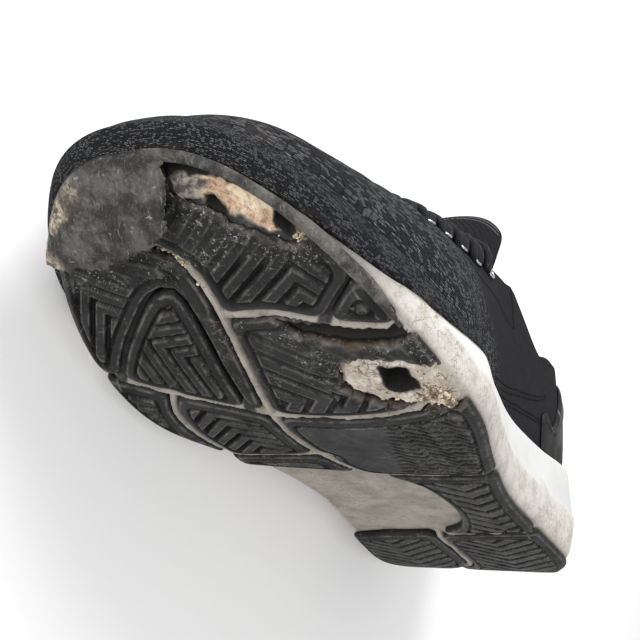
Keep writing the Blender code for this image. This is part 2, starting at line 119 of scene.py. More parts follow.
# x, share of the section where the eyelet panel ends below
PANEL_LOW = ((0.098, 0.66), (0.112, 0.68), (0.13, 0.7), (0.16, 0.735), (0.19, 0.765), (0.2078, 0.79))
STATIONS = (0.198, 0.183, 0.168, 0.153, 0.138, 0.124)
GROOVE = 0.003
THIN_GROOVE = 0.0014
GROOVES = (
    # name, width, points (x, y)
    ("long", GROOVE, mm((279, -24), (275, -12), (266, -4), (248, -3), (226, -5), (206, -8), (188, -9),
        (168, -6), (150, 3), (138, 14))),
    ("inner_cross", GROOVE, mm((240, -70), (231, -55), (220, -36), (212, -20), (206, -8))),
    ("outer_cross", GROOVE, mm((206, -8), (203, 12), (205, 32), (212, 52), (218, 70))),
    ("outer_front", GROOVE, mm((252, -3), (252, 14), (247, 30), (245, 46), (245, 70))),
    ("corner", THIN_GROOVE, mm((247, 26), (258, 36), (268, 47), (276, 60))),
    ("inner_edge", GROOVE, mm((220, -36), (209, -41), (194, -43), (182, -42), (171, -40))),
    ("inner_ring", THIN_GROOVE, mm((228, -50), (241, -41), (253, -30), (261, -21), (262, -13), (252, -11),
        (234, -12), (209, -14))),
    ("inner_rear", GROOVE, mm((171, -60), (171, -4))),
    ("outer_rear", GROOVE, mm((152, 0), (150, 30), (153, 70))),
    ("heel_split", GROOVE, mm((92, 0), (60, 1), (30, 0), (16, -10), (-10, -22))),
    ("heel_outer", GROOVE, mm((76, 0), (80, 20), (86, 60))),
)
ARCH = mm((156, -70), (158, -20), (150, 4), (140, 16), (112, 20), (88, 14), (78, 0), (74, -20), (70, -70))
TOE_TEAR = mm((315, -1), (288.5, -1), (285.8, 3.5), (282.5, 8), (278.5, 13.8), (274.2, 21), (272.2, 28),
              (274.5, 33), (280, 40), (300, 45), (320, 20))
FRESH_FOAM = mm((292.5, 6.5), (289, 15), (284.5, 21.5), (278.5, 27), (274.2, 27.5), (275.5, 21.5),
                (280, 14.5), (285, 6.5), (289.5, 3.5))
TOE_HOLE = mm((285, 7.8), (283.8, 10.8), (281.5, 11.2), (282.2, 8.2))
TOE_PIT = mm((280, 25.8), (277.2, 29.2), (273.8, 27), (276.5, 24))
RIM_GAP = mm((297.2, -1), (296.2, 5.5), (293, 13.8), (288.5, 20.5), (286.8, 19.7), (290, 12.5),
             (293.2, 4.5), (294, -1))
SHEETS = (mm((294, 0), (293, 4.5), (290, 9.5), (286.8, 8.5), (285.8, 4.5), (288.5, 0.5)),
          mm((288, 17), (289, 21.5), (280, 30.5), (274, 34.5), (272.8, 31), (280, 27), (285, 21.5)))
BALL_TEAR = mm((234, 31), (231, 46), (224, 61), (212, 63), (207, 50), (209, 38), (213, 26), (222, 21),
               (230, 24))
BALL_HOLE = mm((228.5, 35.8), (227.5, 43.2), (219.2, 44), (217.2, 39.5), (218.8, 35.2))
GAP_TEAR = mm((250, 12), (246.8, 25), (243.8, 36), (243.1, 50), (240, 50), (238.2, 41), (239, 30),
              (242.8, 18))
PEEL = mm((318, -56), (318, 0), (290, -2), (286, -12), (283.2, -26), (283.2, -36), (286, -60))
FLAP_HELD = (-0.0425, 0.002)
FLAP_FREE = mm((279, -44), (276.8, -37), (277.2, -27), (280, -16), (283.6, -7), (288, -0.2))

PAD_SEEDS = {
    # node: a point inside the pad
    "sole_toe": (0.278, 0.01),
    "sole_inner_forefoot": (0.24, -0.025),
    "sole_outer_corner": (0.254, 0.043),
    "sole_outer_ball": (0.228, 0.012),
    "sole_outer_rear": (0.178, 0.025),
    "sole_inner_edge": (0.205, -0.049),
    "sole_inner_ball": (0.195, -0.025),
    "sole_inner_rear": (0.163, -0.02),
    "sole_outer_waist": (0.12, 0.032),
    "sole_heel_outer": (0.045, 0.022),
    "sole_heel_inner": (0.045, -0.022),
}
CHEVRON_PADS = {
    # node: slot share, depth, how worn, tip, degrees, pitch, fall
    "sole_inner_forefoot": (0.34, 0.0019, 0, (0.246, -0.03), -48, 0.006, 0.9),
    "sole_outer_corner": (0.16, 0.0009, 0.3, (0.252, 0.046), 30, 0.0085, 0.9),
    "sole_inner_ball": (0.38, 0.0021, -0.1, (0.2, -0.026), -8, 0.0062, 0.75),
    "sole_outer_waist": (0.34, 0.0017, 0.15, (0.12, 0.032), 180, 0.0078, 0.85),
    "sole_heel_outer": (0.34, 0.0017, 0.15, (0.045, 0.022), 180, 0.0066, 0.85),
    "sole_heel_inner": (0.34, 0.0017, 0.15, (0.045, -0.022), 180, 0.0066, 0.85),
}
PLAN_START = (-0.002, -0.063)
PLAN_STEP = 0.0004
TREAD_DEPTH = 0.0015


def lie_matrix():
    """The shoe's own axes to the row's frame, anchored on the outer heel face that the record names."""
    turn = Matrix.Rotation(math.radians(LIE_ROLL), 4, "X") @ Matrix.Rotation(math.radians(LIE_TURN), 4, "Z")
    heel = next(m for m in frame["record"]["mounts"] if m["name"] == "heel_face")
    return Matrix.Translation(Vector(heel["pos_m"]) - turn @ HEEL_FACE) @ turn


LIE = lie_matrix()


# ---------------------------------------------------------------- the shoe's own functions

def clamp(value):
    return np.clip(value, 0, 1)


def smooth(low, high, value):
    t = clamp((value - low) / (high - low))
    return t * t * (3 - 2 * t)


def bell(value, middle, width):
    return np.exp(-((value - middle) / width) ** 2)


def joined(*parts):
    """Points from one array for each axis."""
    return np.stack(parts, -1)


def unit(vectors):
    return vectors / np.maximum(np.linalg.norm(vectors, axis=-1, keepdims=True), 1e-12)


def look_up(table, x, column):
    """A smooth curve through one column of a table whose first column is x."""
    rows = np.array(table)
    xs, ys = rows[:, 0], rows[:, column]
    x = np.clip(x, xs[0], xs[-1])
    i = np.clip(np.searchsorted(xs, x, side="right") - 1, 0, len(xs) - 2)
    low, high = np.maximum(i - 1, 0), np.minimum(i + 2, len(xs) - 1)
    step = xs[i + 1] - xs[i]
    m0 = (ys[i + 1] - ys[low]) / (xs[i + 1] - xs[low])
    m1 = (ys[high] - ys[i]) / (xs[high] - xs[i])
    t = (x - xs[i]) / step
    return ((2 * t**3 - 3 * t**2 + 1) * ys[i] + (t**3 - 2 * t**2 + t) * step * m0
            + (3 * t**2 - 2 * t**3) * ys[i + 1] + (t**3 - t**2) * step * m1)


def rounded(distance, radius, power):
    """0 at an end and 1 from the radius on, along a quarter of a superellipse."""
    rest = clamp(1 - np.maximum(distance, 0) / radius)
    return np.maximum(0, 1 - rest**power) ** (1 / power)


def centre_line(x):
    return look_up(OUTLINE, x, 2)


def half_width(x, inset):
    ends = rounded(x - inset, HEEL_RADIUS - inset, 2)
    ends = ends * rounded(LENGTH - inset - x, TOE_RADIUS - inset, TOE_POWER)
    return (look_up(OUTLINE, x, 1) - inset) * ends


def underside(x):
    toe = TOE_SPRING * (np.maximum(x - SPRING_START, 0) / (LENGTH - SPRING_START)) ** SPRING_POWER
    heel = HEEL_BEVEL * clamp(1 - x / HEEL_BEVEL_LENGTH) ** 2
    return toe + heel


def rim(x):
    return underside(x) + look_up(SIDE_HEIGHTS, x, 1)


def dish(x):
    return underside(x) + look_up(SIDE_HEIGHTS, x, 2)


def last_points(fraction, degrees, side, inset):
    """Points of the last: the section's angle runs from the feather, 0, to the top line, 90."""
    x = inset + fraction * (LENGTH - 2 * inset)
    floor = dish(x) + GAP
    height = look_up(TOP_LINE, x, 1) - floor - (inset - UPPER_INSET)
    height = height * rounded(LENGTH - inset - x, TOE_ROUND, 2.2)
    a = np.radians(degrees)
    up = np.maximum(np.sin(a), 0) ** 0.88
    y = centre_line(x) + side * half_width(x, inset) * np.maximum(np.cos(a), 0) ** 0.75
    heel = clamp(1 - x / 0.075) ** 2
    free = np.maximum(0, (up - 0.16) / 0.84)
    lean = heel * (0.0075 * free**2 - 0.01 * free * (1 - free))
    return joined(x + lean, y, floor + height * up)


def plan_points(along, inset, side, height):
    """Points over the plan: along is a share of the length, side runs from -1, inside, to 1."""
    x = inset + along * (LENGTH - 2 * inset) + 0 * side
    return joined(x, centre_line(x) + side * half_width(x, inset), height(x))


def edge_angle(fraction):
    x = fraction * LENGTH
    return np.where(x >= THROAT - 1e-6, 90, look_up(EDGE, x, 1))


def wall(fraction, share):
    """The upper's thickness, padded towards the collar."""
    x = fraction * LENGTH
    behind = clamp((0.122 - x) / 0.03)
    top = clamp((share - 0.45) / 0.35)
    return KNIT + COLLAR_PAD * behind * top


def value_noise(points, scale, seed=0):
    """Smooth noise from -1 to 1 at points (n, 3), by hashing a lattice."""
    p = points / scale + 17.31 + seed * 7.77
    base = np.floor(p).astype(np.int64)
    f = p - base
    f = f * f * (3 - 2 * f)
    total = 0
    for dx in (0, 1):
        for dy in (0, 1):
            for dz in (0, 1):
                n = (base[:, 0] + dx) * 73856093 ^ (base[:, 1] + dy) * 19349663 ^ (base[:, 2] + dz) * 83492791
                n = (n ^ (n >> 13)) * 1274126177
                n = ((n ^ (n >> 16)) & 0xFFFF) / 32767.5 - 1
                w = (f[:, 0] if dx else 1 - f[:, 0]) * (f[:, 1] if dy else 1 - f[:, 1])
                total = total + n * w * (f[:, 2] if dz else 1 - f[:, 2])
    return total


def plan_noise(x, y, scale, seed=0):
    points = joined(np.ravel(x), np.ravel(y), np.zeros(np.size(x)))
    return value_noise(points, scale, seed).reshape(np.shape(x))


def rough_noise(x, y, scale, octaves, seed=0):
    total = 0
    for k in range(octaves):
        total = total + plan_noise(x, y, scale / 2**k, seed + k) / 1.7**k
    return total


def smooth_line(points, step=0.004, closed=False):
    """Points along a smooth curve through the given ones."""
    p = np.array(points)
    p = np.vstack([p[-1:], p, p[:2]] if closed else [2 * p[0] - p[1], p, 2 * p[-1] - p[-2]])
    out = []
    for a, b, c, d in zip(p, p[1:], p[2:], p[3:]):
        n = max(2, int(np.linalg.norm(c - b) / step))
        t = np.linspace(0, 1, n, endpoint=False)[:, None]
        out.append(0.5 * (2 * b + (c - a) * t + (2 * a - 5 * b + 4 * c - d) * t**2
                          + (3 * b - a - 3 * c + d) * t**3))
    if not closed:
        out.append(p[-2:-1])
    return np.vstack(out)


def line_distance(x, y, line):
    """The distance from each point to a line of points."""
    best = np.full(np.shape(x), 1e9)
    for (ax, ay), (bx, by) in zip(line[:-1], line[1:]):
        dx, dy = bx - ax, by - ay
        t = clamp(((x - ax) * dx + (y - ay) * dy) / (dx * dx + dy * dy + 1e-18))
        best = np.minimum(best, np.hypot(x - ax - t * dx, y - ay - t * dy))
    return best


def outline_distance(x, y, ring):
    """Signed distance to a closed line of points: positive inside."""
    ring = np.vstack([ring, ring[:1]])
    inside = np.zeros(np.shape(x), bool)
    for (ax, ay), (bx, by) in zip(ring[:-1], ring[1:]):
        if ay != by:
            inside ^= ((ay > y) != (by > y)) & (x < (bx - ax) * (y - ay) / (by - ay) + ax)
    return np.where(inside, 1, -1) * line_distance(x, y, ring)


def groove_distances(x, y):
    """The distance to each groove's edge by the groove's name: negative inside."""
    return {name: line_distance(x, y, smooth_line(line)) - 0.5 * width for name, width, line in GROOVES}


# ---------------------------------------------------------------- making meshes

def add_object(name, data):
    made = bpy.data.objects.new(name, data)
    bpy.context.scene.collection.objects.link(made)
    return made


def ride(piece, node=None):
    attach(piece, "root")
    if node:
        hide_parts(node)
    return piece


def make_piece(name, node, points, faces, look, attributes=None, uv=None, second=None):
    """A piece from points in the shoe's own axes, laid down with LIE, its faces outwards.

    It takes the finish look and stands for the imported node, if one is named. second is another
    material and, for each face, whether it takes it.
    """
    matrix = np.array(LIE)
    placed = points @ matrix[:3, :3].T + matrix[:3, 3]
    mesh = bpy.data.meshes.new(name)
    mesh.from_pydata(placed.tolist(), [], [list(f) for f in faces])
    if uv is not None:
        layer = mesh.uv_layers.new(name="run")
        corner = np.empty(len(mesh.loops), np.int32)
        mesh.loops.foreach_get("vertex_index", corner)
        layer.data.foreach_set("uv", np.ascontiguousarray(uv[corner], np.float32).ravel())
    for key, values in (attributes or {}).items():
        layer = mesh.attributes.new(key, "FLOAT", "POINT")
        layer.data.foreach_set("value", np.ascontiguousarray(values, np.float32))
    piece = add_object(name, mesh)
    mesh.materials.append(look)
    if second:
        mesh.materials.append(second[0])
        mesh.polygons.foreach_set("material_index", np.ascontiguousarray(second[1], np.int32))
    bm = bmesh.new()
    bm.from_mesh(mesh)
    bmesh.ops.remove_doubles(bm, verts=bm.verts, dist=1e-6)
    bmesh.ops.recalc_face_normals(bm, faces=bm.faces)
    bm.to_mesh(mesh)
    bm.free()
    mesh.shade_smooth()
    return ride(piece, node)


def grid_faces(rows, columns, start=0, wrap=False):
    """Quads over a grid of points laid out row by row."""
    i, j = np.meshgrid(np.arange(rows - 1), np.arange(columns if wrap else columns - 1), indexing="ij")
    k = (j + 1) % columns
    a = start + i * columns + j
    b = start + i * columns + k
    return joined(a, b, b + columns, a + columns).reshape(-1, 4)


def capped(rings):
    """Points and faces of a closed tube from its rings of points."""
    count, sides = rings.shape[:2]
    faces = [list(f) for f in grid_faces(count, sides, 0, wrap=True)]
    faces += [list(range(sides))[::-1], list(range((count - 1) * sides, count * sides))]
    return rings.reshape(-1, 3), faces


def two_sheets(outer, inner):
    """Points and faces of a closed body from two equal grids and the strips that join their edges."""
    rows, columns = outer.shape[:2]
    count = rows * columns
    faces = [grid_faces(rows, columns), grid_faces(rows, columns, count)]
    row, column = np.arange(rows) * columns, np.arange(columns)
    for edge in (column, count - columns + column, row, row + columns - 1):
        faces.append(joined(edge[:-1], edge[1:], edge[1:] + count, edge[:-1] + count))
    return np.vstack([outer.reshape(-1, 3), inner.reshape(-1, 3)]), np.vstack(faces)


class Field:
    """A closed solid over the part of the plan where a field is positive, with smooth edges."""

    def __init__(self, x, y, field):
        inside = field > 0
        ids = np.full(field.shape, -1)
        ids[inside] = np.arange(inside.sum())
        points = [joined(x[inside], y[inside])]
        extra, edge_ids = [], {}
        count = int(inside.sum())

        def crossing(a, b):
            key = (a, b) if a < b else (b, a)
            if key not in edge_ids:
                t = min(max(field[a] / (field[a] - field[b]), 0.02), 0.98)
                extra.append((x[a] + (x[b] - x[a]) * t, y[a] + (y[b] - y[a]) * t))
                edge_ids[key] = count + len(extra) - 1
            return edge_ids[key]

        corner = inside[:-1, :-1].astype(int) + inside[1:, :-1] + inside[1:, 1:] + inside[:-1, 1:]
        i, j = np.nonzero(corner == 4)
        self.quads = joined(ids[i, j], ids[i + 1, j], ids[i + 1, j + 1], ids[i, j + 1])
        self.others, self.rims = [], []
        for i, j in zip(*np.nonzero((corner > 0) & (corner < 4))):
            ring = ((i, j), (i + 1, j), (i + 1, j + 1), (i, j + 1))
            face = []
            for a, b in zip(ring, ring[1:] + ring[:1]):
                if inside[a]:
                    face.append(int(ids[a]))
                if inside[a] != inside[b]:
                    face.append(crossing(a, b))
            if corner[i, j] == 2 and inside[ring[0]] == inside[ring[2]]:
                continue
            self.others.append(face)
            for a, b in zip(face, face[1:] + face[:1]):
                if a >= count and b >= count:
                    self.rims.append((a, b))
        if extra:
            points.append(np.array(extra))
        self.plan = np.vstack(points)

    def solid(self, front, back):
        """Points and faces between two heights given at every plan point."""
        n = len(self.plan)
        points = np.vstack([np.column_stack([self.plan, front]), np.column_stack([self.plan, back])])
        faces = [list(f) for f in self.quads] + self.others
        faces += [[v + n for v in reversed(f)] for f in faces]
        faces += [[b, a, a + n, b + n] for a, b in self.rims]
        return points, faces


# ---------------------------------------------------------------- settings

def a_length(name, description, default, least=0, most=10):
    return FloatProperty(name=name, description=description, default=default, min=least, max=most,
                         unit="LENGTH", precision=5)


def an_angle(name, description, degrees):
    return FloatProperty(name=name, description=description, default=math.radians(degrees), subtype="ANGLE")


def a_colour(name, description, default):
    return FloatVectorProperty(name=name, description=description, default=default, subtype="COLOR",
                               size=3, min=0, max=1)


class WornShoeSizes(bpy.types.PropertyGroup):
    loop_length: a_length("Knit loop length", "Length of one loop of the knit along the shoe", 0.0025, 0.001)
    loop_height: a_length("Knit loop height", "Distance between two rows of the knit", 0.00092, 0.0005)
    tread_depth: a_length("Tread depth", "Depth of the tread grooves where nothing has worn away",
                          TREAD_DEPTH, 0, 0.003)
    wear: FloatProperty(name="Wear", description="How much of the tread and rubber has worn away",
                        default=1, min=0, max=1.5, subtype="FACTOR")
    lace_width: a_length("Lace width", "Width of the pulled lace", 0.0064, 0.002)
    eyelet_radius: a_length("Eyelet radius", "Radius of the metal eyelets", 0.0021, 0.001)
    stitch_length: a_length("Stitch length", "Length of one stitch of the panel seams", 0.0024, 0.001)
    crumb_size: a_length("Crumb size", "Size of the foam crumbs at the torn places", 0.00045, 0.0002)


class WornShoeColours(bpy.types.PropertyGroup):
    rubber: a_colour("Rubber", "Outsole rubber", (0.018, 0.0178, 0.0178))
    # Also the colour of the painted highlight along the tread's edges.
    rubber_dust_and_sheen: a_colour("Rubber dust", "Dust in the tread", (0.14, 0.136, 0.128))
    foam: a_colour("Foam", "Midsole side", (0.6, 0.598, 0.59))
    foam_soiled: a_colour("Soiled foam", "Dirty foam under the tread", (0.33, 0.3, 0.258))
    foam_torn: a_colour("Torn foam", "Fresh foam in the torn places", (0.66, 0.47, 0.34))
    soil: a_colour("Soil", "Brown dirt", (0.07, 0.05, 0.034))
    knit: a_colour("Knit", "Yarn of the upper", (0.019, 0.0195, 0.021))
    fleck: a_colour("Fleck", "Light yarn in the knit", (0.155, 0.158, 0.165))
    cloth: a_colour("Cloth", "Tongue, quarter and lining", (0.011, 0.011, 0.012))
    lace: a_colour("Lace", "Lace yarn", (0.01, 0.01, 0.011))
    counter: a_colour("Counter", "Heel counter", (0.012, 0.012, 0.013))
    eyelet: a_colour("Eyelet", "Metal of the eyelets", (0.62, 0.63, 0.66))


class WornShoeStage(bpy.types.PropertyGroup):
    azimuth: an_angle("Azimuth", "Camera angle from the toe towards the outer side", 28)
    below: an_angle("Below", "Camera angle below the plane of the sole", 24)
    roll: an_angle("Roll", "Turn of the picture", 9)
    distance: a_length("Distance", "Camera to the aimed point", 0.4)
    aim: FloatVectorProperty(name="Aim", description="Aimed point in the shoe's own axes", size=3,
                             unit="LENGTH", default=(0.1727, -0.0144, 0.0501), precision=5)
    lens: FloatProperty(name="Lens", description="Focal length in millimetres", default=64.5, min=1)
    key: FloatProperty(name="Key light", description="Power of the large soft light in watts",
                       default=9, min=0)
    floor: a_colour("Floor", "Floor colour", (0.93, 0.93, 0.93))


# ---------------------------------------------------------------- node helpers

class Value:
    """What a node gives, for use in sums; the sums become nodes of the same tree."""

    def __init__(self, t, socket):
        self.t = t
        self.socket = socket

    def __add__(self, other):
        return self.t.math("ADD", self, other)

    def __sub__(self, other):
        return self.t.math("SUBTRACT", self, other)

    def __rsub__(self, other):
        return self.t.math("SUBTRACT", other, self)

    def __mul__(self, other):
        return self.t.math("MULTIPLY", self, other)

    def __truediv__(self, other):
        return self.t.math("DIVIDE", self, other)

    def __abs__(self):
        return self.t.math("ABSOLUTE", self, 0)

    __radd__ = __add__
    __rmul__ = __mul__


class Tree:
    """Short calls for the nodes of one material or group."""

    def __init__(self, tree):
        self.tree = tree

    def node(self, kind, inputs=None, **settings):
        made = self.tree.nodes.new(kind)
        for key, value in settings.items():
            setattr(made, key, value)
        for key, value in (inputs or {}).items():
            self.set(made.inputs[key], value)
        return made

    def get(self, output, kind, inputs=None, **settings):
        """One output of a new node."""
        return Value(self, self.node(kind, inputs, **settings).outputs[output])

    def values(self, sockets):
        return {socket.name: Value(self, socket) for socket in sockets}

    def set(self, socket, value):
        if isinstance(value, Value):
            self.tree.links.new(value.socket, socket)
        elif socket.type == "RGBA":
            socket.default_value = (*value, 1)
        else:
            socket.default_value = value

    def math(self, operation, a, b=0):
        return self.get(0, "ShaderNodeMath", {0: a, 1: b}, operation=operation)

    def max(self, a, b):
        return self.math("MAXIMUM", a, b)

    def ramp(self, value, low, high, to_low=0, to_high=1):
        return self.get(0, "ShaderNodeMapRange", {0: value, 1: low, 2: high, 3: to_low, 4: to_high},
                        interpolation_type="SMOOTHSTEP")

    def mix(self, factor, a, b):
        return self.get(2, "ShaderNodeMix", {0: factor, 6: a, 7: b}, data_type="RGBA")

    def noise(self, scale, detail=3, roughness=0.55, at=None, distortion=0):
        """Noise over the object's own place, or over the vector at."""
        return self.get("Fac", "ShaderNodeTexNoise", {
            "Vector": at or self.place(), "Scale": scale, "Detail": detail, "Roughness": roughness,
            "Distortion": distortion})

    def blots(self, scale, detail, roughness, low, high, at=None):
        """Spots: 0 where a noise is below low and 1 where it is above high."""
        return self.ramp(self.noise(scale, detail, roughness, at), low, high)

    def veins(self, factor, width):
        """Thin lines where a noise passes its middle value."""
        return self.ramp(abs(factor - 0.5), 0, width, 1, 0)

    def stretch(self, vector, scale, turn=(0, 0, 0)):
        return self.get("Vector", "ShaderNodeMapping", {"Vector": vector, "Rotation": turn, "Scale": scale})

    def split(self, vector):
        """The first two parts of a vector."""
        parts = self.node("ShaderNodeSeparateXYZ", {0: vector}).outputs
        return Value(self, parts[0]), Value(self, parts[1])

    def attribute(self, name):
        return self.get("Fac", "ShaderNodeAttribute", attribute_name=name)

    def place(self):
        return self.get("Object", "ShaderNodeTexCoord")

    def uv(self):
        return self.get("UV", "ShaderNodeUVMap", uv_map="run")

    def bump(self, height, strength, distance):
        return self.get("Normal", "ShaderNodeBump", {"Height": height, "Strength": strength,
                                                     "Distance": distance})

    def group(self, give, **inputs):
        """What one of the shader groups below gives."""
        return self.values(self.node("ShaderNodeGroup", inputs, node_tree=give()).outputs)

    def scuffs(self, amount, fineness):
        return self.group(scuffing, Place=self.place(), Amount=amount, Fineness=fineness)

    def soil(self, colour, colours, dirt, most):
        """A colour under dirt, up to the share most of it."""
        over = self.group(soiling, Colour=colour, Soil=colours.soil, Mask=dirt, Size=260, Place=self.place())
        return self.mix(dirt * most, colour, over["Colour"])


def tint(colour, factor):
    return tuple(factor * part for part in colour)


def new_socket(tree, name, in_out, value):
    """A socket of a group, of the kind that suits its value: None stands for a vector."""
    kind = "Vector" if value is None else "Color" if isinstance(value, tuple) else "Float"
    socket = tree.interface.new_socket(name=name, in_out=in_out, socket_type="NodeSocket" + kind)
    if value is not None and in_out == "INPUT":
        socket.default_value = (*value, 1) if kind == "Color" else value
    return socket


def shader_group(name, inputs):
    """Turn a function that fills a shader group into one that gives the group, made only once."""
    def wrap(fill):
        def give():
            tree = bpy.data.node_groups.get(name)
            if tree:
                return tree
            tree = bpy.data.node_groups.new(name, "ShaderNodeTree")
            for key, value in inputs.items():
                new_socket(tree, key, "INPUT", value)
            t = Tree(tree)
            given = t.values(t.node("NodeGroupInput").outputs)
            results = fill(t, *(given[key] for key in inputs))
            for key in results:
                new_socket(tree, key, "OUTPUT", (0, 0, 0) if key == "Colour" else 0)
            t.node("NodeGroupOutput", results)
            return tree
        return give
    return wrap


def shader(name, colour, roughness, normal=None, specular=0.5, **uniform):
    """A material with the Principled sockets set, to values or to what functions of its tree give."""
    made = bpy.data.materials.new(name)
    made.use_nodes = True
    t = Tree(made.node_tree)
    sockets = made.node_tree.nodes["Principled BSDF"].inputs
    for key, value in {"Base Color": colour, "Roughness": roughness, "Normal": normal,
                       "Specular IOR Level": specular, **uniform}.items():
        if value is not None:
            t.set(sockets[key.replace("_", " ")], value(t) if callable(value) else value)
    return made


@shader_group("Soiling", {"Colour": (0.5, 0.5, 0.5), "Soil": (0.1, 0.07, 0.04), "Mask": 0.3, "Size": 120,
                          "Place": None})
def soiling(t, colour, soil, mask, size, place):
    """Blotchy dirt over a colour: more of it where the mask is high."""
    broad = t.noise(size, 5, 0.65, place, 0.4)
    fine = t.noise(size * 5.3, 4, 0.7, place)
    low = 0.8 - mask * 0.55
    amount = t.ramp(broad * 0.65 + fine * 0.35, low, low + 0.16)
    return {"Colour": t.mix(amount, colour, soil)}


@shader_group("Scuffs", {"Place": None, "Amount": 0.5, "Fineness": 900})
def scuffing(t, place, amount, fineness):
    """Short light scratches in two directions and pale rubbed patches."""
    one = t.noise(fineness, 2, 0.6, t.stretch(place, (1, 0.1, 0.3), (0.3, 0.9, 0.6)))
    two = t.noise(fineness, 2, 0.6, t.stretch(place, (0.12, 1, 0.35), (1.1, 0.2, 2)))
    line = t.max(t.ramp(one, 0.63, 0.72), t.ramp(two, 0.64, 0.73))
    return {"Scratch": line * t.blots(95, 4, 0.6, 0.5, 0.64, place) * amount,
            "Rub": t.blots(160, 6, 0.72, 0.56, 0.7, place) * amount}


@shader_group("Knit loops", {"Run": None, "Length": 0.005, "Height": 0.002})
def knitting(t, run, loop_length, loop_height):
    """Rows of long loops on a UV map in metres, every other row shifted by half a loop."""
    wander = t.noise(260, 2, at=run)
    x, y = t.split(run)
    across = y / loop_height + (wander - 0.5) * 1.6
    row = t.math("FLOOR", across)
    jitter = t.get("Value", "ShaderNodeTexWhiteNoise", {"W": row}, noise_dimensions="1D")
    along = x / loop_length + t.math("MODULO", abs(row), 2) * 0.5 + (jitter + wander)
    cell = t.math("FLOOR", along)
    flat = t.math("POWER", abs((along - cell - 0.5) * 2.04), 6)
    tall = t.math("POWER", abs((across - row - 0.5) * 2.15), 2)
    height = t.math("POWER", t.max(1 - (flat + tall), 0), 0.5)
    key = t.get(0, "ShaderNodeCombineXYZ", {"X": cell, "Y": row})
    chance = t.get("Value", "ShaderNodeTexWhiteNoise", {"Vector": key}, noise_dimensions="3D")
    strand = t.blots(800, 3, 0.7, 0.44, 0.58, t.stretch(run, (1, 4, 1)))
    region = t.ramp(t.noise(75, at=run), 0.35, 0.65, 0.72, 0.4)
    fleck = t.math("GREATER_THAN", chance, region) * t.ramp(height, 0.45, 0.85)
    # Gap is painted shade where the loops are low.
    return {"Height": height, "Fleck": fleck * (0.12 + strand * 0.88), "Gap": t.ramp(height, 0, 0.5, 1, 0)}


@shader_group("Fine weave", {"Run": None, "Pitch": 0.0008})
def weaving(t, run, pitch):
    """A plain weave on a UV map in metres."""
    x, y = (t.math("SINE", part / pitch * math.pi) for part in t.split(run))
    return {"Height": 0.5 + x * y * 0.5}


# ---------------------------------------------------------------- finishes

def rubber_finish(name, colours):
    """Black sole rubber: near black painted shade in the slots and beside the peeled flap's edge, edges
    rubbed paler with a painted highlight, pale chips and dirt by the torn places.
    """
    black, dust_and_sheen = colours.rubber, colours.rubber_dust_and_sheen

    def colour(t):
        worn, dirt = t.attribute("worn"), t.attribute("dirt")
        scuffs = t.scuffs(0.9, 700)
        base = t.mix(t.blots(60, 5, 0.6, 0.35, 0.7), tint(black, 0.7), tint(black, 1.35))
        base = t.mix(scuffs["Rub"] * (0.16 + worn * 0.7) * 0.5, base, dust_and_sheen)
        # Rubbed edges: partly real wear, partly a painted highlight along the lug and pad edges.
        base = t.mix(t.attribute("lip") * t.blots(210, 5, 0.7, 0.38, 0.62) * 0.85, base, dust_and_sheen)
        # Painted shade: near black in the slots and beside the peeled flap's free edge.
        base = t.mix(t.attribute("deep") * 0.92, base, (0.0022, 0.0022, 0.0025))
        base = t.mix(scuffs["Scratch"] * (0.35 + worn * 0.6), base, (0.24, 0.235, 0.22))
        chips = t.blots(880, 6, 0.85, 0.57, 0.62) * ((worn + 0.1) * t.blots(85, 4, 0.65, 0.42, 0.56))
        base = t.mix(chips, base, (0.42, 0.405, 0.37))
        return t.soil(base, colours, dirt, 0.9)

    def roughness(t):
        return t.ramp(t.noise(130, 4, 0.6), 0.3, 0.75, 0.44, 0.66)

    def normal(t):
        flakes = t.blots(430, 6, 0.8, 0.55, 0.63) * t.attribute("worn")
        height = t.noise(1500, 2) * 0.2 + t.blots(330, 5, 0.7, 0.5, 0.66) * 0.45 + flakes * 0.8
        return t.bump(height - t.scuffs(1, 700)["Scratch"] * 0.4, 0.6, 0.00045)

    return shader(name, colour, roughness, normal, 0.13)


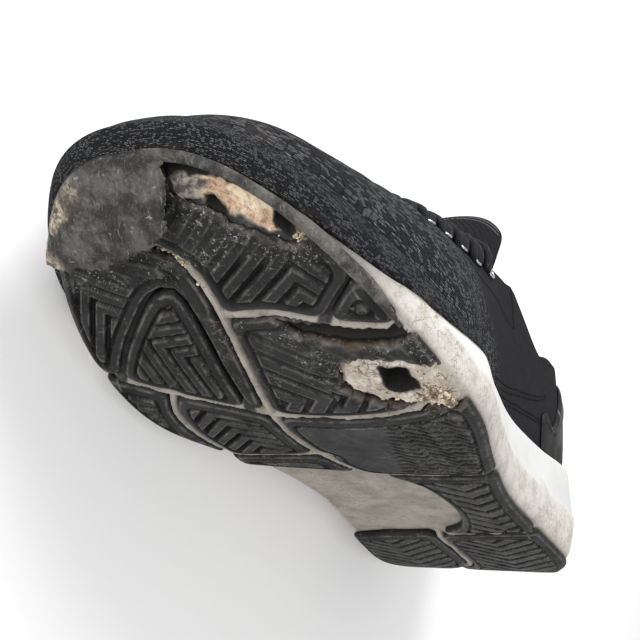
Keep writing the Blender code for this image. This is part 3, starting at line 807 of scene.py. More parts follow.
def foam_finish(name, colours):
    """Moulded foam: white above, beige and crazed below, taupe under the tread, raw where torn, with painted
    shade near black in the holes and the bed and dark in the thin grooves.
    """

    def flank(t):
        up = t.attribute("up")
        mottled = t.blots(45, 6, 0.65, 0.3, 0.75)
        white = t.mix(mottled, colours.foam, tint(colours.foam, 0.9))
        beige = t.mix(t.blots(150, 6, 0.75, 0.42, 0.66), (0.58, 0.55, 0.51), (0.42, 0.38, 0.325))
        low = t.ramp(up + (mottled - 0.5) * 0.08, 0.42, 0.56, 1, 0)
        base = t.mix(low * 0.85, white, beige)
        grime = t.blots(520, 6, 0.8, 0.56, 0.66) * t.blots(55, 3, 0.6, 0.44, 0.6) * (0.25 + low * 0.6)
        base = t.mix(grime, base, (0.23, 0.185, 0.14))
        crazing = t.veins(t.noise(170, at=t.stretch(t.place(), (1, 1, 1.5))), 0.014)
        crazing = t.max(crazing, t.veins(t.noise(310, 3, 0.6), 0.016)) * t.blots(70, 4, 0.6, 0.42, 0.56)
        base = t.mix(crazing * (low * 0.75), base, (0.2, 0.165, 0.125))
        return t.mix(t.ramp(up, 0, 0.16, 1, 0) * 0.55, base, (0.3, 0.26, 0.21))

    def colour(t):
        soiled_foam = colours.foam_soiled
        taupe = t.mix(t.blots(110, 5, 0.65, 0.35, 0.7), soiled_foam, tint(soiled_foam, 0.66))
        taupe = t.mix(t.blots(620, 6, 0.85, 0.55, 0.63) * 0.75, taupe, (0.09, 0.075, 0.06))
        base = t.mix(t.attribute("under"), flank(t), taupe)
        fibre = t.noise(420, 6, 0.8, t.stretch(t.place(), (1, 2.6, 2.6)))
        pale = t.blots(150, 5, 0.7, 0.44, 0.62)
        grit = t.blots(480, 6, 0.8, 0.56, 0.66)
        dark = t.max(t.veins(t.noise(90, 4, 0.6), 0.015) * 0.85, grit * 0.7)
        plates = t.mix(t.ramp(fibre, 0.36, 0.6), (0.3, 0.24, 0.18), (0.5, 0.44, 0.38))
        plates = t.mix(pale, plates, (0.63, 0.57, 0.51))
        base = t.mix(t.attribute("torn"), base, t.mix(dark, plates, (0.06, 0.045, 0.032)))
        salmon = t.mix(t.ramp(fibre, 0.36, 0.58), (0.26, 0.135, 0.065), colours.foam_torn)
        salmon = t.mix(pale, salmon, (0.78, 0.67, 0.5))
        base = t.mix(t.attribute("fresh"), base, t.mix(grit * 0.5, salmon, (0.1, 0.06, 0.035)))
        base = t.soil(base, colours, t.attribute("dirt"), 0.85)
        # Dark rubber skin left on the foam, also used as painted shade on the thin grooves' floors.
        skin = t.mix(t.blots(200, 5, 0.7, 0.45, 0.7), (0.026, 0.026, 0.027), (0.075, 0.073, 0.07))
        chips = t.blots(430, 6, 0.8, 0.6, 0.66) * t.blots(90, 3, 0.6, 0.46, 0.6)
        base = t.mix(t.attribute("skin"), base, t.mix(chips, skin, (0.46, 0.44, 0.4)))
        rag = t.mix(t.blots(330, 6, 0.75, 0.42, 0.6), (0.085, 0.078, 0.07), (0.36, 0.325, 0.275))
        base = t.mix(t.attribute("sheet"), base, rag)
        # Painted shade: near black in the holes, the gap tear and the bed under the upper.
        return t.mix(t.attribute("hollow"), base, (0.004, 0.0035, 0.003))

    def normal(t):
        fibre = t.noise(520, 6, 0.8, t.stretch(t.place(), (1, 2, 2)))
        wrinkle = t.noise(420, 5, 0.7, distortion=1.2)
        raw = t.max(t.attribute("torn") * 0.7, t.max(t.attribute("fresh"), t.attribute("sheet")))
        low = t.ramp(t.attribute("up"), 0.4, 0.55, 0.55, 0.1)
        return t.bump(wrinkle * low + fibre * raw, 0.8, 0.0006)

    return shader(name, colour, 0.78, normal, 0.3)


def knit_finish(name, colours, sizes):
    """Knitted upper with light flecks in rows and painted shade between the loops; the quarter is a smooth
    close cloth.
    """

    def loops(t):
        return t.group(knitting, Run=t.uv(), Length=sizes.loop_length, Height=sizes.loop_height)

    def colour(t):
        given = loops(t)
        yarn = t.blots(700, 3, 0.55, 0.35, 0.7, t.stretch(t.uv(), (1, 4, 1)))
        base = t.mix(yarn, tint(colours.knit, 0.6), tint(colours.knit, 2))
        # Painted shade, near black, between the loops.
        base = t.mix(given["Gap"] * 0.95, base, (0.0035, 0.0035, 0.004))
        base = t.mix(given["Fleck"], base, colours.fleck)
        plain = t.mix(t.noise(300, 4), colours.cloth, tint(colours.cloth, 1.8))
        base = t.mix(t.attribute("quarter"), base, plain)
        dust = t.attribute("dirt") * t.blots(150, 5, 0.55, 0.45, 0.7)
        return t.mix(dust * 0.5, base, (0.2, 0.17, 0.14))

    def normal(t):
        fine = t.group(weaving, Run=t.uv(), Pitch=0.0009)["Height"]
        height = loops(t)["Height"] + t.noise(2600, 2, at=t.uv()) * 0.22
        quarter = t.attribute("quarter")
        return t.bump(height * (1 - quarter) + fine * quarter * 0.25, 1, 0.0008)

    return shader(name, colour, 0.88, normal, 0.06)


def cloth_finish(name, tone, pitch):
    """A woven cloth on the piece's own UV map."""

    def weave(t):
        return t.group(weaving, Run=t.uv(), Pitch=pitch)["Height"]

    def colour(t):
        base = t.mix(weave(t), tint(tone, 0.55), tint(tone, 1.35))
        base = t.mix(t.blots(70, 5, 0.6, 0.45, 0.75) * 0.35, base, tuple(c * 2 + 0.004 for c in tone))
        return t.mix(t.blots(1300, 2, 0.55, 0.68, 0.74) * 0.35, base, (0.22, 0.21, 0.2))

    return shader(name, colour, 0.86, lambda t: t.bump(weave(t) + t.noise(220) * 0.8, 0.8, 0.0004), 0.08)


def lace_finish(name, colours):
    """Braided cord: slanted strands that cross, on a UV map in metres."""

    def strands(t):
        x, y = t.split(t.uv())
        return 0.5 + t.math("SINE", (x + y) * 4200) * t.math("SINE", (x - y) * 4200) * 0.5

    def colour(t):
        base = t.mix(strands(t), tint(colours.lace, 0.5), tint(colours.lace, 2))
        return t.mix(t.blots(500, 4, 0.7, 0.52, 0.72) * 0.3, base, (0.11, 0.11, 0.115))

    return shader(name, colour, 0.8, lambda t: t.bump(strands(t), 0.5, 0.0003), 0.16)


def counter_finish(name, colours):
    """Moulded plastic of the heel counter: satin, scuffed, lighter in the middle of the fin."""
    tone = colours.counter

    def colour(t):
        base = t.mix(t.attribute("fin"), tone, tint(tone, 5))
        base = t.mix(t.noise(90, 5) * 0.5, base, tint(tone, 0.5))
        return t.mix(t.scuffs(0.8, 600)["Scratch"] * 0.5, base, (0.3, 0.3, 0.29))

    return shader(name, colour, lambda t: t.ramp(t.noise(140, 4), 0.3, 0.7, 0.48, 0.64),
                  lambda t: t.bump(t.noise(1200), 0.35, 0.0003), 0.16)


def metal_finish(name, tone):
    return shader(name, lambda t: t.mix(t.noise(800, 4), tone, tint(tone, 0.6)), 0.28, Metallic=1)


def thread_finish(name, tone):
    return shader(name, lambda t: t.mix(t.noise(2500, 2), tint(tone, 0.6), tint(tone, 1.5)), 0.75,
                  Sheen_Weight=0.3)


def flap_finish(name, light):
    """Rubber rubbed to a leathery grey, with tan fraying where the dirt mask is high, which on the flap also
    holds a painted highlight along its edges; light above 1 brightens the tone as painted sheen.
    """

    def colour(t):
        base = t.mix(t.blots(100, 6, 0.75, 0.42, 0.62), tint((0.02, 0.0195, 0.0185), light),
                     tint((0.092, 0.087, 0.079), light))
        streak = t.blots(420, 5, 0.8, 0.56, 0.66, t.stretch(t.place(), (1, 1, 3)))
        base = t.mix(streak * 0.6, base, tint((0.22, 0.21, 0.19), light))
        base = t.mix(t.scuffs(1, 800)["Scratch"] * 0.6, base, (0.34, 0.33, 0.31))
        frayed = t.ramp(t.attribute("dirt"), 0.2, 0.7) * t.blots(330, 5, 0.75, 0.36, 0.52)
        tan = t.mix(t.blots(500, 5, 0.7, 0.4, 0.6), (0.46, 0.39, 0.29), (0.13, 0.105, 0.075))
        return t.mix(frayed, base, tan)

    def normal(t):
        return t.bump(t.blots(380, 5, 0.75, 0.42, 0.62) + t.noise(1500, 2), 0.65, 0.0005)

    return shader(name, colour, 0.62, normal, 0.25)


def crumb_finish(name, torn):
    tone = tuple(0.35 * a + 0.65 * b for a, b in zip(torn, (0.7, 0.64, 0.5)))
    return shader(name, lambda t: t.mix(t.blots(260, 4, 0.7, 0.42, 0.58), (0.17, 0.125, 0.08), tone), 0.9,
                  lambda t: t.bump(t.noise(1800), 0.6, 0.0004))


def look(name, make, *args):
    """The finish called name, made when it is first asked for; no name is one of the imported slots'."""
    return bpy.data.materials.get(name) or make(name, *args)


def panel_cloth(colours):
    return look("panel_cloth", cloth_finish, tint(colours.cloth, 1.25), 0.0007)


# ---------------------------------------------------------------- repeats by geometry nodes

def in_row(vectors):
    """Directions in the shoe's own axes turned to the row's."""
    return vectors @ np.array(LIE)[:3, :3].T


def scatter(name, places, facing, along, build, sizes, material):
    """Copies of a small form on given places, turned to facing and along, as one plain mesh.

    build(tree, inputs) adds the form's nodes and returns its geometry. sizes are the tree's
    named inputs.
    """
    mesh = bpy.data.meshes.new(name + "_places")
    mesh.from_pydata((in_row(places) + np.array(LIE)[:3, 3]).tolist(), [], [])
    for key, values in (("facing", facing), ("along", along)):
        layer = mesh.attributes.new(key, "FLOAT_VECTOR", "POINT")
        layer.data.foreach_set("vector", np.ascontiguousarray(in_row(values), np.float32).ravel())
    holder = add_object(name + "_places", mesh)
    tree = bpy.data.node_groups.new(name, "GeometryNodeTree")
    step = holder.modifiers.new("scatter", "NODES")
    for way in ("INPUT", "OUTPUT"):
        tree.interface.new_socket(name="Geometry", in_out=way, socket_type="NodeSocketGeometry")
    identifiers = {key: new_socket(tree, key, "INPUT", value).identifier for key, value in sizes.items()}
    t = Tree(tree)
    given = t.values(t.node("NodeGroupInput").outputs)
    turned = None
    for key, axis, pivot in (("facing", "Z", "AUTO"), ("along", "X", "Z")):
        vector = t.get("Attribute", "GeometryNodeInputNamedAttribute", {"Name": key},
                       data_type="FLOAT_VECTOR")
        inputs = {"Vector": vector, "Rotation": turned} if turned else {"Vector": vector}
        turned = t.get("Rotation", "FunctionNodeAlignRotationToVector", inputs, axis=axis, pivot_axis=pivot)
    spread = t.get(1, "FunctionNodeRandomValue", {"Seed": 1, 2: 1 - given["Variation"],
                                                  3: 1 + given["Variation"]}, data_type="FLOAT")
    placed = t.get("Instances", "GeometryNodeInstanceOnPoints", {
        "Points": given["Geometry"], "Instance": build(t, given), "Rotation": turned, "Scale": spread})
    real = t.get(0, "GeometryNodeRealizeInstances", {"Geometry": placed})
    coated = t.get(0, "GeometryNodeSetMaterial", {"Geometry": real, "Material": material})
    t.node("NodeGroupOutput", {"Geometry": coated})
    step.node_group = tree
    for key, value in sizes.items():
        step[identifiers[key]] = value
    graph = bpy.context.evaluated_depsgraph_get()
    made = bpy.data.meshes.new_from_object(holder.evaluated_get(graph))
    made.name = name
    piece = add_object(name, made)
    bpy.data.objects.remove(holder, do_unlink=True)
    if not made.materials:
        made.materials.append(material)
    made.shade_smooth()
    return piece


def ring_form(t, given):
    circle, section = (t.get("Curve", "GeometryNodeCurvePrimitiveCircle",
                             {"Resolution": corners, "Radius": given[key]})
                       for corners, key in ((20, "Radius"), (8, "Thickness")))
    return t.get("Mesh", "GeometryNodeCurveToMesh", {"Curve": circle, "Profile Curve": section})


def stitch_form(t, given):
    grain = t.get("Mesh", "GeometryNodeMeshUVSphere", {"Segments": 8, "Rings": 6, "Radius": 0.5})
    thick = given["Thickness"]
    size = t.get(0, "ShaderNodeCombineXYZ", {"X": given["Length"], "Y": thick, "Z": thick})
    return t.get("Geometry", "GeometryNodeTransform", {"Geometry": grain, "Scale": size})


def crumb_form(t, given):
    ball = t.get("Mesh", "GeometryNodeMeshIcoSphere", {"Radius": given["Radius"], "Subdivisions": 2})
    rough = t.get("Color", "ShaderNodeTexNoise", {"Scale": 2400, "Detail": 2})
    push = t.get(0, "ShaderNodeVectorMath", {0: rough, 1: (0.5, 0.5, 0.5)}, operation="SUBTRACT")
    for factor in (given["Radius"], 2.4):
        push = t.get(0, "ShaderNodeVectorMath", {0: push, "Scale": factor}, operation="SCALE")
    return t.get("Geometry", "GeometryNodeSetPosition", {"Geometry": ball, "Offset": push})


# ---------------------------------------------------------------- the sole

def densely(*parts):
    """Stations joined from (start, end, step) parts."""
    return np.concatenate([np.arange(a, b - 0.5 * step, step) for a, b, step in parts])


def sole_stations():
    """Fractions of the length: closer together at both ends and where the sole is torn."""
    ends = 0.014 * (np.arange(22) / 22) ** 2
    middle = densely((0.014, 0.204, 0.0018), (0.204, 0.254, 0.0006), (0.254, 0.268, 0.0014),
                     (0.268, 0.286, 0.0004))
    return np.concatenate([ends, middle, LENGTH - ends[::-1]]) / LENGTH


def torn_distances(x, y):
    """Signed distances to the torn places with ragged edges: ball, ball hole, toe and gap."""
    ragged = 0.001 * rough_noise(x, y, 0.0045, 3, 5) + 0.0004 * plan_noise(x, y, 0.0012, 9)
    return (outline_distance(x, y, BALL_TEAR) + ragged,
            outline_distance(x, y, BALL_HOLE) + 0.3 * ragged,
            outline_distance(x, y, TOE_TEAR) + 0.8 * ragged,
            outline_distance(x, y, GAP_TEAR) + 0.5 * ragged)


def crater(x, y):
    """Depth of the torn foam under the sole, and masks for its kinds of surface and for the painted shade in
    its holes and thin grooves.
    """
    ball, ball_hole, toe, gap = torn_distances(x, y)
    lumps = rough_noise(x, y, 0.006, 4, 3)
    plates = np.abs(rough_noise(x, y, 0.0075, 2, 52))
    fine = rough_noise(x, y, 0.0022, 3, 71)
    fresh = outline_distance(x, y, FRESH_FOAM) + 0.0006 * fine
    toe_hole, toe_pit, rim_gap = (outline_distance(x, y, line) + 0.0004 * fine
                                  for line in (TOE_HOLE, TOE_PIT, RIM_GAP))
    holes = np.maximum(toe_hole, toe_pit)
    sheet = np.maximum(*(outline_distance(x, y, line) + 0.0007 * fine for line in SHEETS))
    peel = outline_distance(x, y, PEEL)
    bare = outline_distance(x, y, ARCH) + 0.002
    off = groove_distances(x, y)
    thin = np.minimum(off.pop("inner_ring"), off.pop("corner")) + 0.5 * THIN_GROOVE
    ridge = smooth(0.0001, -0.0008, np.minimum.reduce(list(off.values())))
    ridge = ridge * smooth(0.001, -0.003, np.maximum.reduce([ball, toe, peel, bare]))
    ridge = ridge * smooth(-0.0002, -0.0012, gap) * smooth(0.275, 0.267, x + 0.0008 * fine)
    bulge = smooth(-0.0006, 0.003, ball)
    depth = bulge * (-0.0024 + 0.0011 * plates + 0.0003 * lumps + 0.0002 * fine)
    for low, high, where, deep in (
        (-0.0002, 0.0008, ball_hole, 0.012),
        (-0.0004, 0.005, toe, 0.0002 + 0.0004 * lumps),
        (-0.0006, 0.0016, fresh, 0.0018 + 0.0022 * lumps + 0.0006 * fine),
        (-0.0006, 0.001, sheet, -0.0016 - 0.0006 * fine),
        (-0.0002, 0.001, holes, 0.005),
        (-0.0002, 0.001, rim_gap, 0.004),
        (-0.0004, 0.0016, gap, 0.0045),
    ):
        depth = depth + smooth(low, high, where) * deep
    depth = depth - ridge * (0.0026 + 0.0004 * lumps)
    skin = np.maximum(smooth(-0.0016, 0, toe), smooth(-0.003, -0.001, peel))
    # The thin grooves' floors take the dark skin as painted shade.
    skin = np.maximum(skin * (1 - smooth(-0.0006, 0.0004, fresh)), smooth(0.0022, 0.0014, thin))
    # Painted shade: near black in the holes and the gap tear.
    hollow = smooth(-0.0013, -0.0006, np.maximum(ball_hole, holes))
    hollow = np.maximum(hollow, 0.97 * smooth(-0.0013, -0.0006, np.maximum(rim_gap, gap)))
    masks = {"torn": smooth(-0.0012, 0.0004, ball), "fresh": smooth(-0.0004, 0.0002, fresh),
             "sheet": smooth(-0.0006, 0.0002, sheet), "skin": skin, "hollow": hollow}
    return depth, masks


def soiled_and_shaded(x, y):
    """Brown dirt under the sole near the torn places, dirt with painted shadow at the groove's top end beside
    the flap, and painted shade across the arch.
    """
    ball, _, toe, gap = torn_distances(x, y)
    near = np.maximum(smooth(-0.006, 0, ball), 0.7 * smooth(-0.008, 0, toe))
    # Partly dirt, partly painted shadow beside the peeled flap's free edge.
    crossing = 0.9 * bell(x, 0.279, 0.008) * bell(y, -0.016, 0.008)
    # Painted shade across the arch.
    arch_shade = 0.5 * smooth(0.158, 0.14, x) * smooth(0.07, 0.09, x)
    return clamp(0.4 * near + crossing + 0.35 * smooth(-0.006, 0, gap) + arch_shade)


def make_midsole(colours):
    fractions = sole_stations()
    n = len(fractions)
    columns = 2 * n

    def share(part, more):
        return lambda x: underside(x) + part * look_up(SIDE_HEIGHTS, x, 1) + more

    rings = (
        # inset, height, how far up the side from 0 to 1
        (FOOT_INSET, share(0, RUBBER + GAP), 0),
        (0.0012, share(0, 0.0048), 0.06),
        (0.0000, share(0, 0.0075), 0.12),
        (-0.001, share(0.22, 0.005), 0.3),
        (-0.0012, share(0.45, 0.0018), 0.44),
        (-0.0005, share(0.49, 0.0022), 0.5),
        (0.0006, share(0.66, 0.002), 0.66),
        (0.0016, share(0.84, 0.001), 0.82),
        (RIM_INSET - 0.0005, share(1, -0.0006), 0.97),
        (RIM_INSET + 0.0004, share(1, 0), 1),
        (LIP_INSET, share(1, -0.0003), 1),
        (DISH_INSET, dish, 1),
    )
    rows = []
    for here, after in zip(rings, rings[1:] + (None,)):
        rows.append(here)
        if after is None or after[0] > RIM_INSET + 0.0003:
            continue
        for t in (1 / 3, 2 / 3):
            rows.append((here[0] + (after[0] - here[0]) * t,
                         lambda x, a=here[1], b=after[1], t=t: a(x) * (1 - t) + b(x) * t,
                         here[2] + (after[2] - here[2]) * t))
    side = np.stack([np.vstack([plan_points(fractions, inset, 1, height),
                                plan_points(fractions, inset, -1, height)[::-1]])
                     for inset, height, _ in rows])
    up = np.array([row[2] for row in rows])
    flat = side.reshape(-1, 3)
    bend = (value_noise(flat, 0.011, 2) + 0.5 * value_noise(flat, 0.004, 4)).reshape(len(rows), -1, 1)
    outward = side - side.mean(1, keepdims=True)
    outward[..., 2] = 0
    side = side + unit(outward) * (np.sin(up * math.pi) * 0.0003)[:, None, None] * bend

    foot_columns, bed_columns = 236, 16
    across = np.linspace(-1, 1, foot_columns)[None]
    foot = plan_points(fractions[:, None], FOOT_INSET, across, underside)
    x, y = foot[..., 0], foot[..., 1]
    depth, masks = crater(x, y)
    soft = 0.00025 * plan_noise(x, y, 0.006, 8)
    foot[..., 2] += RUBBER + GAP + (depth + np.maximum(soft, 0)) * smooth(0, 0.06, 1 - np.abs(across))

    bed = plan_points(fractions[:, None], DISH_INSET, np.linspace(-1, 1, bed_columns)[None], dish)
    # The dirt mark also carries painted shade across the arch.
    marks = ({"up": np.repeat(up, columns)}, {"under": np.ones(x.size), "dirt": soiled_and_shaded(x, y), **masks},
             # The bed under the upper takes painted shade.
             {"hollow": np.ones(bed_columns * n)})
    grids = (side, foot, bed)
    points = np.vstack([grid.reshape(-1, 3) for grid in grids])
    faces = np.vstack([grid_faces(len(rows), columns), grid_faces(n, foot_columns, side.size // 3),
                       grid_faces(n, bed_columns, (side.size + foot.size) // 3)])
    attribute = {key: np.concatenate([mark.get(key, np.zeros(grid.size // 3)).ravel()
                                      for mark, grid in zip(marks, grids)])
                 for key in ("up", "under", "dirt", *masks)}
    low = smooth(0.45, 0, attribute["up"]) * 0.35 + smooth(0.05, 0, points[:, 0]) * 0.2
    attribute["dirt"] = clamp(attribute["dirt"] + (1 - attribute["under"]) * low)
    make_piece("midsole_foam", "midsole", points, faces, look("foam", foam_finish, colours),
               attribute)


def rounded_low(a, b, reach):
    """The lower of two fields, rounded off where they meet."""
    h = clamp(0.5 + 0.5 * (b - a) / reach)
    return b * (1 - h) + a * h - reach * h * (1 - h)


def pad_fields():
    """The plan grid and the signed distance to the edge of the nearest pad, positive on rubber."""
    x, y = np.meshgrid(np.arange(PLAN_START[0], 0.303, PLAN_STEP), np.arange(PLAN_START[1], 0.062, PLAN_STEP),
                       indexing="ij")
    inset = 0.0009
    xs = inset + (LENGTH - 2 * inset) * (0.5 - 0.5 * np.cos(np.linspace(0, math.pi, 160)))
    half, centre = half_width(xs, inset), centre_line(xs)
    ring = np.vstack([joined(xs, centre + half), joined(xs, centre - half)[::-1][1:-1]])
    rubber = outline_distance(x, y, ring)
    wobble = 0.00018 * plan_noise(x, y, 0.01, 2)
    for groove in groove_distances(x, y).values():
        rubber = rounded_low(rubber, groove + wobble, 0.0036)
    rubber = rounded_low(rubber, -outline_distance(x, y, smooth_line(ARCH, closed=True)), 0.003)
    ball, _, toe, gap = torn_distances(x, y)
    peel = outline_distance(x, y, PEEL) + 0.0008 * plan_noise(x, y, 0.003, 6)
    return x, y, rubber, -np.maximum.reduce([ball, toe, peel, gap])


def neighbours(mask):
    """A mask with the four neighbours of its cells."""
    grown = mask.copy()
    grown[1:] |= mask[:-1]
    grown[:-1] |= mask[1:]
    grown[:, 1:] |= mask[:, :-1]
    grown[:, :-1] |= mask[:, 1:]
    return grown


def spread_from(seed, mask):
    """The connected part of a mask that holds the seed."""
    found = np.zeros(mask.shape, bool)
    found[seed] = mask[seed]
    while True:
        grown = neighbours(found) & mask
        if grown.sum() == found.sum():
            return found
        found = grown


def worn_smooth(x, y):
    """Where the tread has gone: behind the toe's tear and over the front of the ball pad."""
    toe = smooth(0.266, 0.273, x + 0.1 * np.abs(y - 0.012))
    ball = (bell(x, 0.239, 0.01) * bell(y, 0.02, 0.026)) ** 0.8
    edge = 0.8 * bell(x, 0.232, 0.008) * bell(y, 0.04, 0.01)
    inner = 0.3 * bell(x, 0.262, 0.014) * bell(y, -0.03, 0.012)
    return clamp(toe + ball + edge + inner)


def chevrons(x, y, tip, degrees, pitch, fall):
    """Nested chevrons with their tips on a line through tip, counted in pitches."""
    a = math.radians(degrees)
    along = (x - tip[0]) * math.cos(a) + (y - tip[1]) * math.sin(a)
    across = -(x - tip[0]) * math.sin(a) + (y - tip[1]) * math.cos(a)
    return (along + fall * np.abs(across)) / pitch


def pad_pattern(node, x, y):
    """Phase, slot share, depth, how worn the whole pad is and where it carries tread."""
    if node in CHEVRON_PADS:
        slot, depth, worn, *chevron = CHEVRON_PADS[node]
        return chevrons(x, y, *chevron), slot, depth, worn, 1
    if node == "sole_toe":
        left = y < -0.012
        strip = smooth(0.0085, 0.0092, line_distance(x, y, smooth_line(GROOVES[0][2])))
        phase = np.where(left, chevrons(x, y, (0.262, -0.04), -16, 0.0064, 0.95),
                         chevrons(x, y, (0.262, 0.025), 4, 0.0064, 0.85))
        return phase, 0.34, 0.0019, 0, np.where(left, strip, 1)
    if node == "sole_outer_ball":
        phase = np.where(y < 0.018, chevrons(x, y, (0.216, 0.01), 84, 0.009, 0.95),
                         chevrons(x, y, (0.218, 0.03), 84, 0.009, 0.95))
        return phase, 0.26, 0.0014, 0.1, 1
    if node == "sole_outer_rear":
        wave = 0.0011 * np.sin(y * 520) + 0.0005 * np.sin(y * 1300 + 1)
        phase = (x + 0.3 * (y - 0.04) + wave) / 0.0036
        return phase, 0.4, 0.0016, 0, smooth(0.02, 0.027, y - 0.25 * (x - 0.178))
    if node == "sole_inner_edge":
        return (x + 0.35 * y) / 0.0052, 0.38, 0.0019, 0, smooth(-0.0435, -0.045, y)
    return x / 0.008, 0.12, 0.0006, 0.3, 1


def tread(node, x, y, edge, sizes):
    """Depth below the pad's face and masks: slots, which take painted shade, their rubbed edges, which also
    take a painted highlight, and where the tread has worn.
    """
    phase, groove, depth, worn_all, on = pad_pattern(node, x, y)
    saw = np.abs(phase - np.floor(phase) - 0.5) * 2
    cut = smooth(1 - groove - 0.1, 1 - groove + 0.1, saw)
    border = 0.0034
    inside = smooth(border, border + 0.0005, edge) * on
    channel = smooth(0.0005, 0, np.abs(edge - border) - 0.0002)
    blotch = 0.22 * rough_noise(x, y, 0.016, 3, 12)
    gone = clamp(worn_smooth(x, y) * sizes.wear + worn_all + blotch - 0.06)
    scale = sizes.tread_depth / TREAD_DEPTH
    lugs = cut * inside * depth * scale * (1 - 0.9 * gone)
    rim_line = channel * 0.0011 * scale * (1 - 0.4 * gone)
    side = half_width(x, 0) - np.abs(y - centre_line(x))
    bevel = 0.001 * (1 - rounded(edge, 0.001, 2)) + 0.0009 * smooth(border - 0.0002, 0, edge)
    bevel = bevel + 0.0013 * smooth(0.0046, 0, side)
    slots = np.maximum(cut * inside * (1 - gone), channel * (1 - 0.5 * gone))
    # Rubbed edges, partly real wear and partly a painted highlight.
    rubbed_and_lit_edges = np.maximum.reduce([
        bell(saw, 0.85 - groove, 0.09) * inside, smooth(0.0006, 0, np.abs(edge - border - 0.0009)),
        smooth(0.0005, 0, np.abs(edge - 0.0008)), 1.3 * smooth(0.0005, 0, np.abs(side - 0.0048))])
    return np.maximum(lugs, rim_line) + bevel, slots, rubbed_and_lit_edges * (1 - 0.5 * gone), gone


def make_outsole(colours, sizes):
    x, y, rubber, torn = pad_fields()
    both = np.minimum(rubber, torn)
    for node, seed in PAD_SEEDS.items():
        here = tuple(int(round((a - b) / PLAN_STEP)) for a, b in zip(seed, PLAN_START))
        pad = spread_from(here, both > 0)
        i, j = np.nonzero(pad)
        if len(i) < 50:
            raise RuntimeError(f"{node} has no pad round its seed")
        window = (slice(i.min() - 2, i.max() + 3), slice(j.min() - 2, j.max() + 3))
        body = Field(x[window], y[window], np.where(neighbours(pad), both, -PLAN_STEP)[window])
        px, py = body.plan[:, 0], body.plan[:, 1]
        tear = sample(torn, px, py)
        depth, slots, rubbed_and_lit_edges, gone = tread(node, px, py, np.maximum(sample(rubber, px, py), 0), sizes)
        # Painted shadow on the rubber beside the peeled flap's free edge.
        flap_shadow = smooth(0.0075, 0, -outline_distance(px, py, PEEL)) * smooth(-0.04, -0.02, py)
        toe_slope = smooth(0.009, 0, tear) * smooth(0.268, 0.276, px) * 0.0015
        chipped = smooth(0.0024, 0, tear) * (0.0008 + 0.0007 * plan_noise(px, py, 0.0016, 3)) + toe_slope
        dents = 0.00022 * rough_noise(px, py, 0.007, 3, 21) + 0.0003
        front = underside(px) + depth + np.maximum(chipped, 0) + np.maximum(dents, 0) * gone
        back = underside(px) + RUBBER
        points, faces = body.solid(np.minimum(front, back - 0.0006), back)
        none = np.zeros(len(px))
        attribute = {
            # Painted shade in the slots and beside the flap.
            "deep": np.concatenate([np.maximum(slots, 0.85 * flap_shadow), none]),
            "lip": np.concatenate([np.maximum(rubbed_and_lit_edges, smooth(0.0016, 0.0004, tear)), none]),
            "worn": np.tile(clamp(gone + 0.6 * smooth(0.005, 0, tear)), 2),
            # Dirt, with painted shade across the arch.
            "dirt": np.tile(clamp(soiled_and_shaded(px, py) + 0.35 * smooth(0.0025, 0, tear)), 2),
        }
        make_piece(node + "_tread", node, points, faces,
                   look("worn_rubber", rubber_finish, colours), attribute)


def sample(values, px, py):
    """Values of the plan grid at points, by bilinear weights."""
    i, j = ((p - start) / PLAN_STEP for p, start in zip((px, py), PLAN_START))
    i0, j0 = (np.clip(np.floor(k).astype(int), 0, most - 2) for k, most in zip((i, j), values.shape))
    a, b = i - i0, j - j0
    return ((values[i0, j0] * (1 - a) + values[i0 + 1, j0] * a) * (1 - b)
            + (values[i0, j0 + 1] * (1 - a) + values[i0 + 1, j0 + 1] * a) * b)


def make_rand():
    """The smooth rubber band that stays along the sole's edge at the toe, above the worn through place."""
    x = LENGTH - 0.053 * np.linspace(0.02, 1, 130) ** 2
    taper = smooth(-4, 14, np.arange(len(x))[::-1])
    tall = 0.0016 + 0.002 * smooth(0.292, 0.27, x)
    profile = ((0.0016, 0.85), (0.0015, 0.22), (0.001, 0), (0.0002, 0.02), (-0.0005, 0.25),
               (-0.001, 0.6), (-0.0009, 0.9), (-0.0003, 1), (0.001, 0.95))
    rings = []
    for inset, level in profile:
        wide = 0.0008 + (inset - 0.0008) * (0.4 + 0.6 * taper) + 0.00015 * plan_noise(x, 0 * x, 0.005, 2)
        ring = plan_points(x / LENGTH, wide, 1, underside)
        ring[:, 2] += level * tall * taper + 0.0002 * plan_noise(ring[:, 0], 0 * x, 0.006, 3)
        rings.append(ring)
    points, faces = capped(np.stack(rings, 1))
    attribute = {"worn": np.full(len(points), 0.35), "dirt": np.full(len(points), 0.12)}
    # The rand's tone is brightened by 1.15 as painted sheen.
    make_piece("toe_rand", None, points, faces, look("rand_rubber", flap_finish, 1.15),
               attribute)


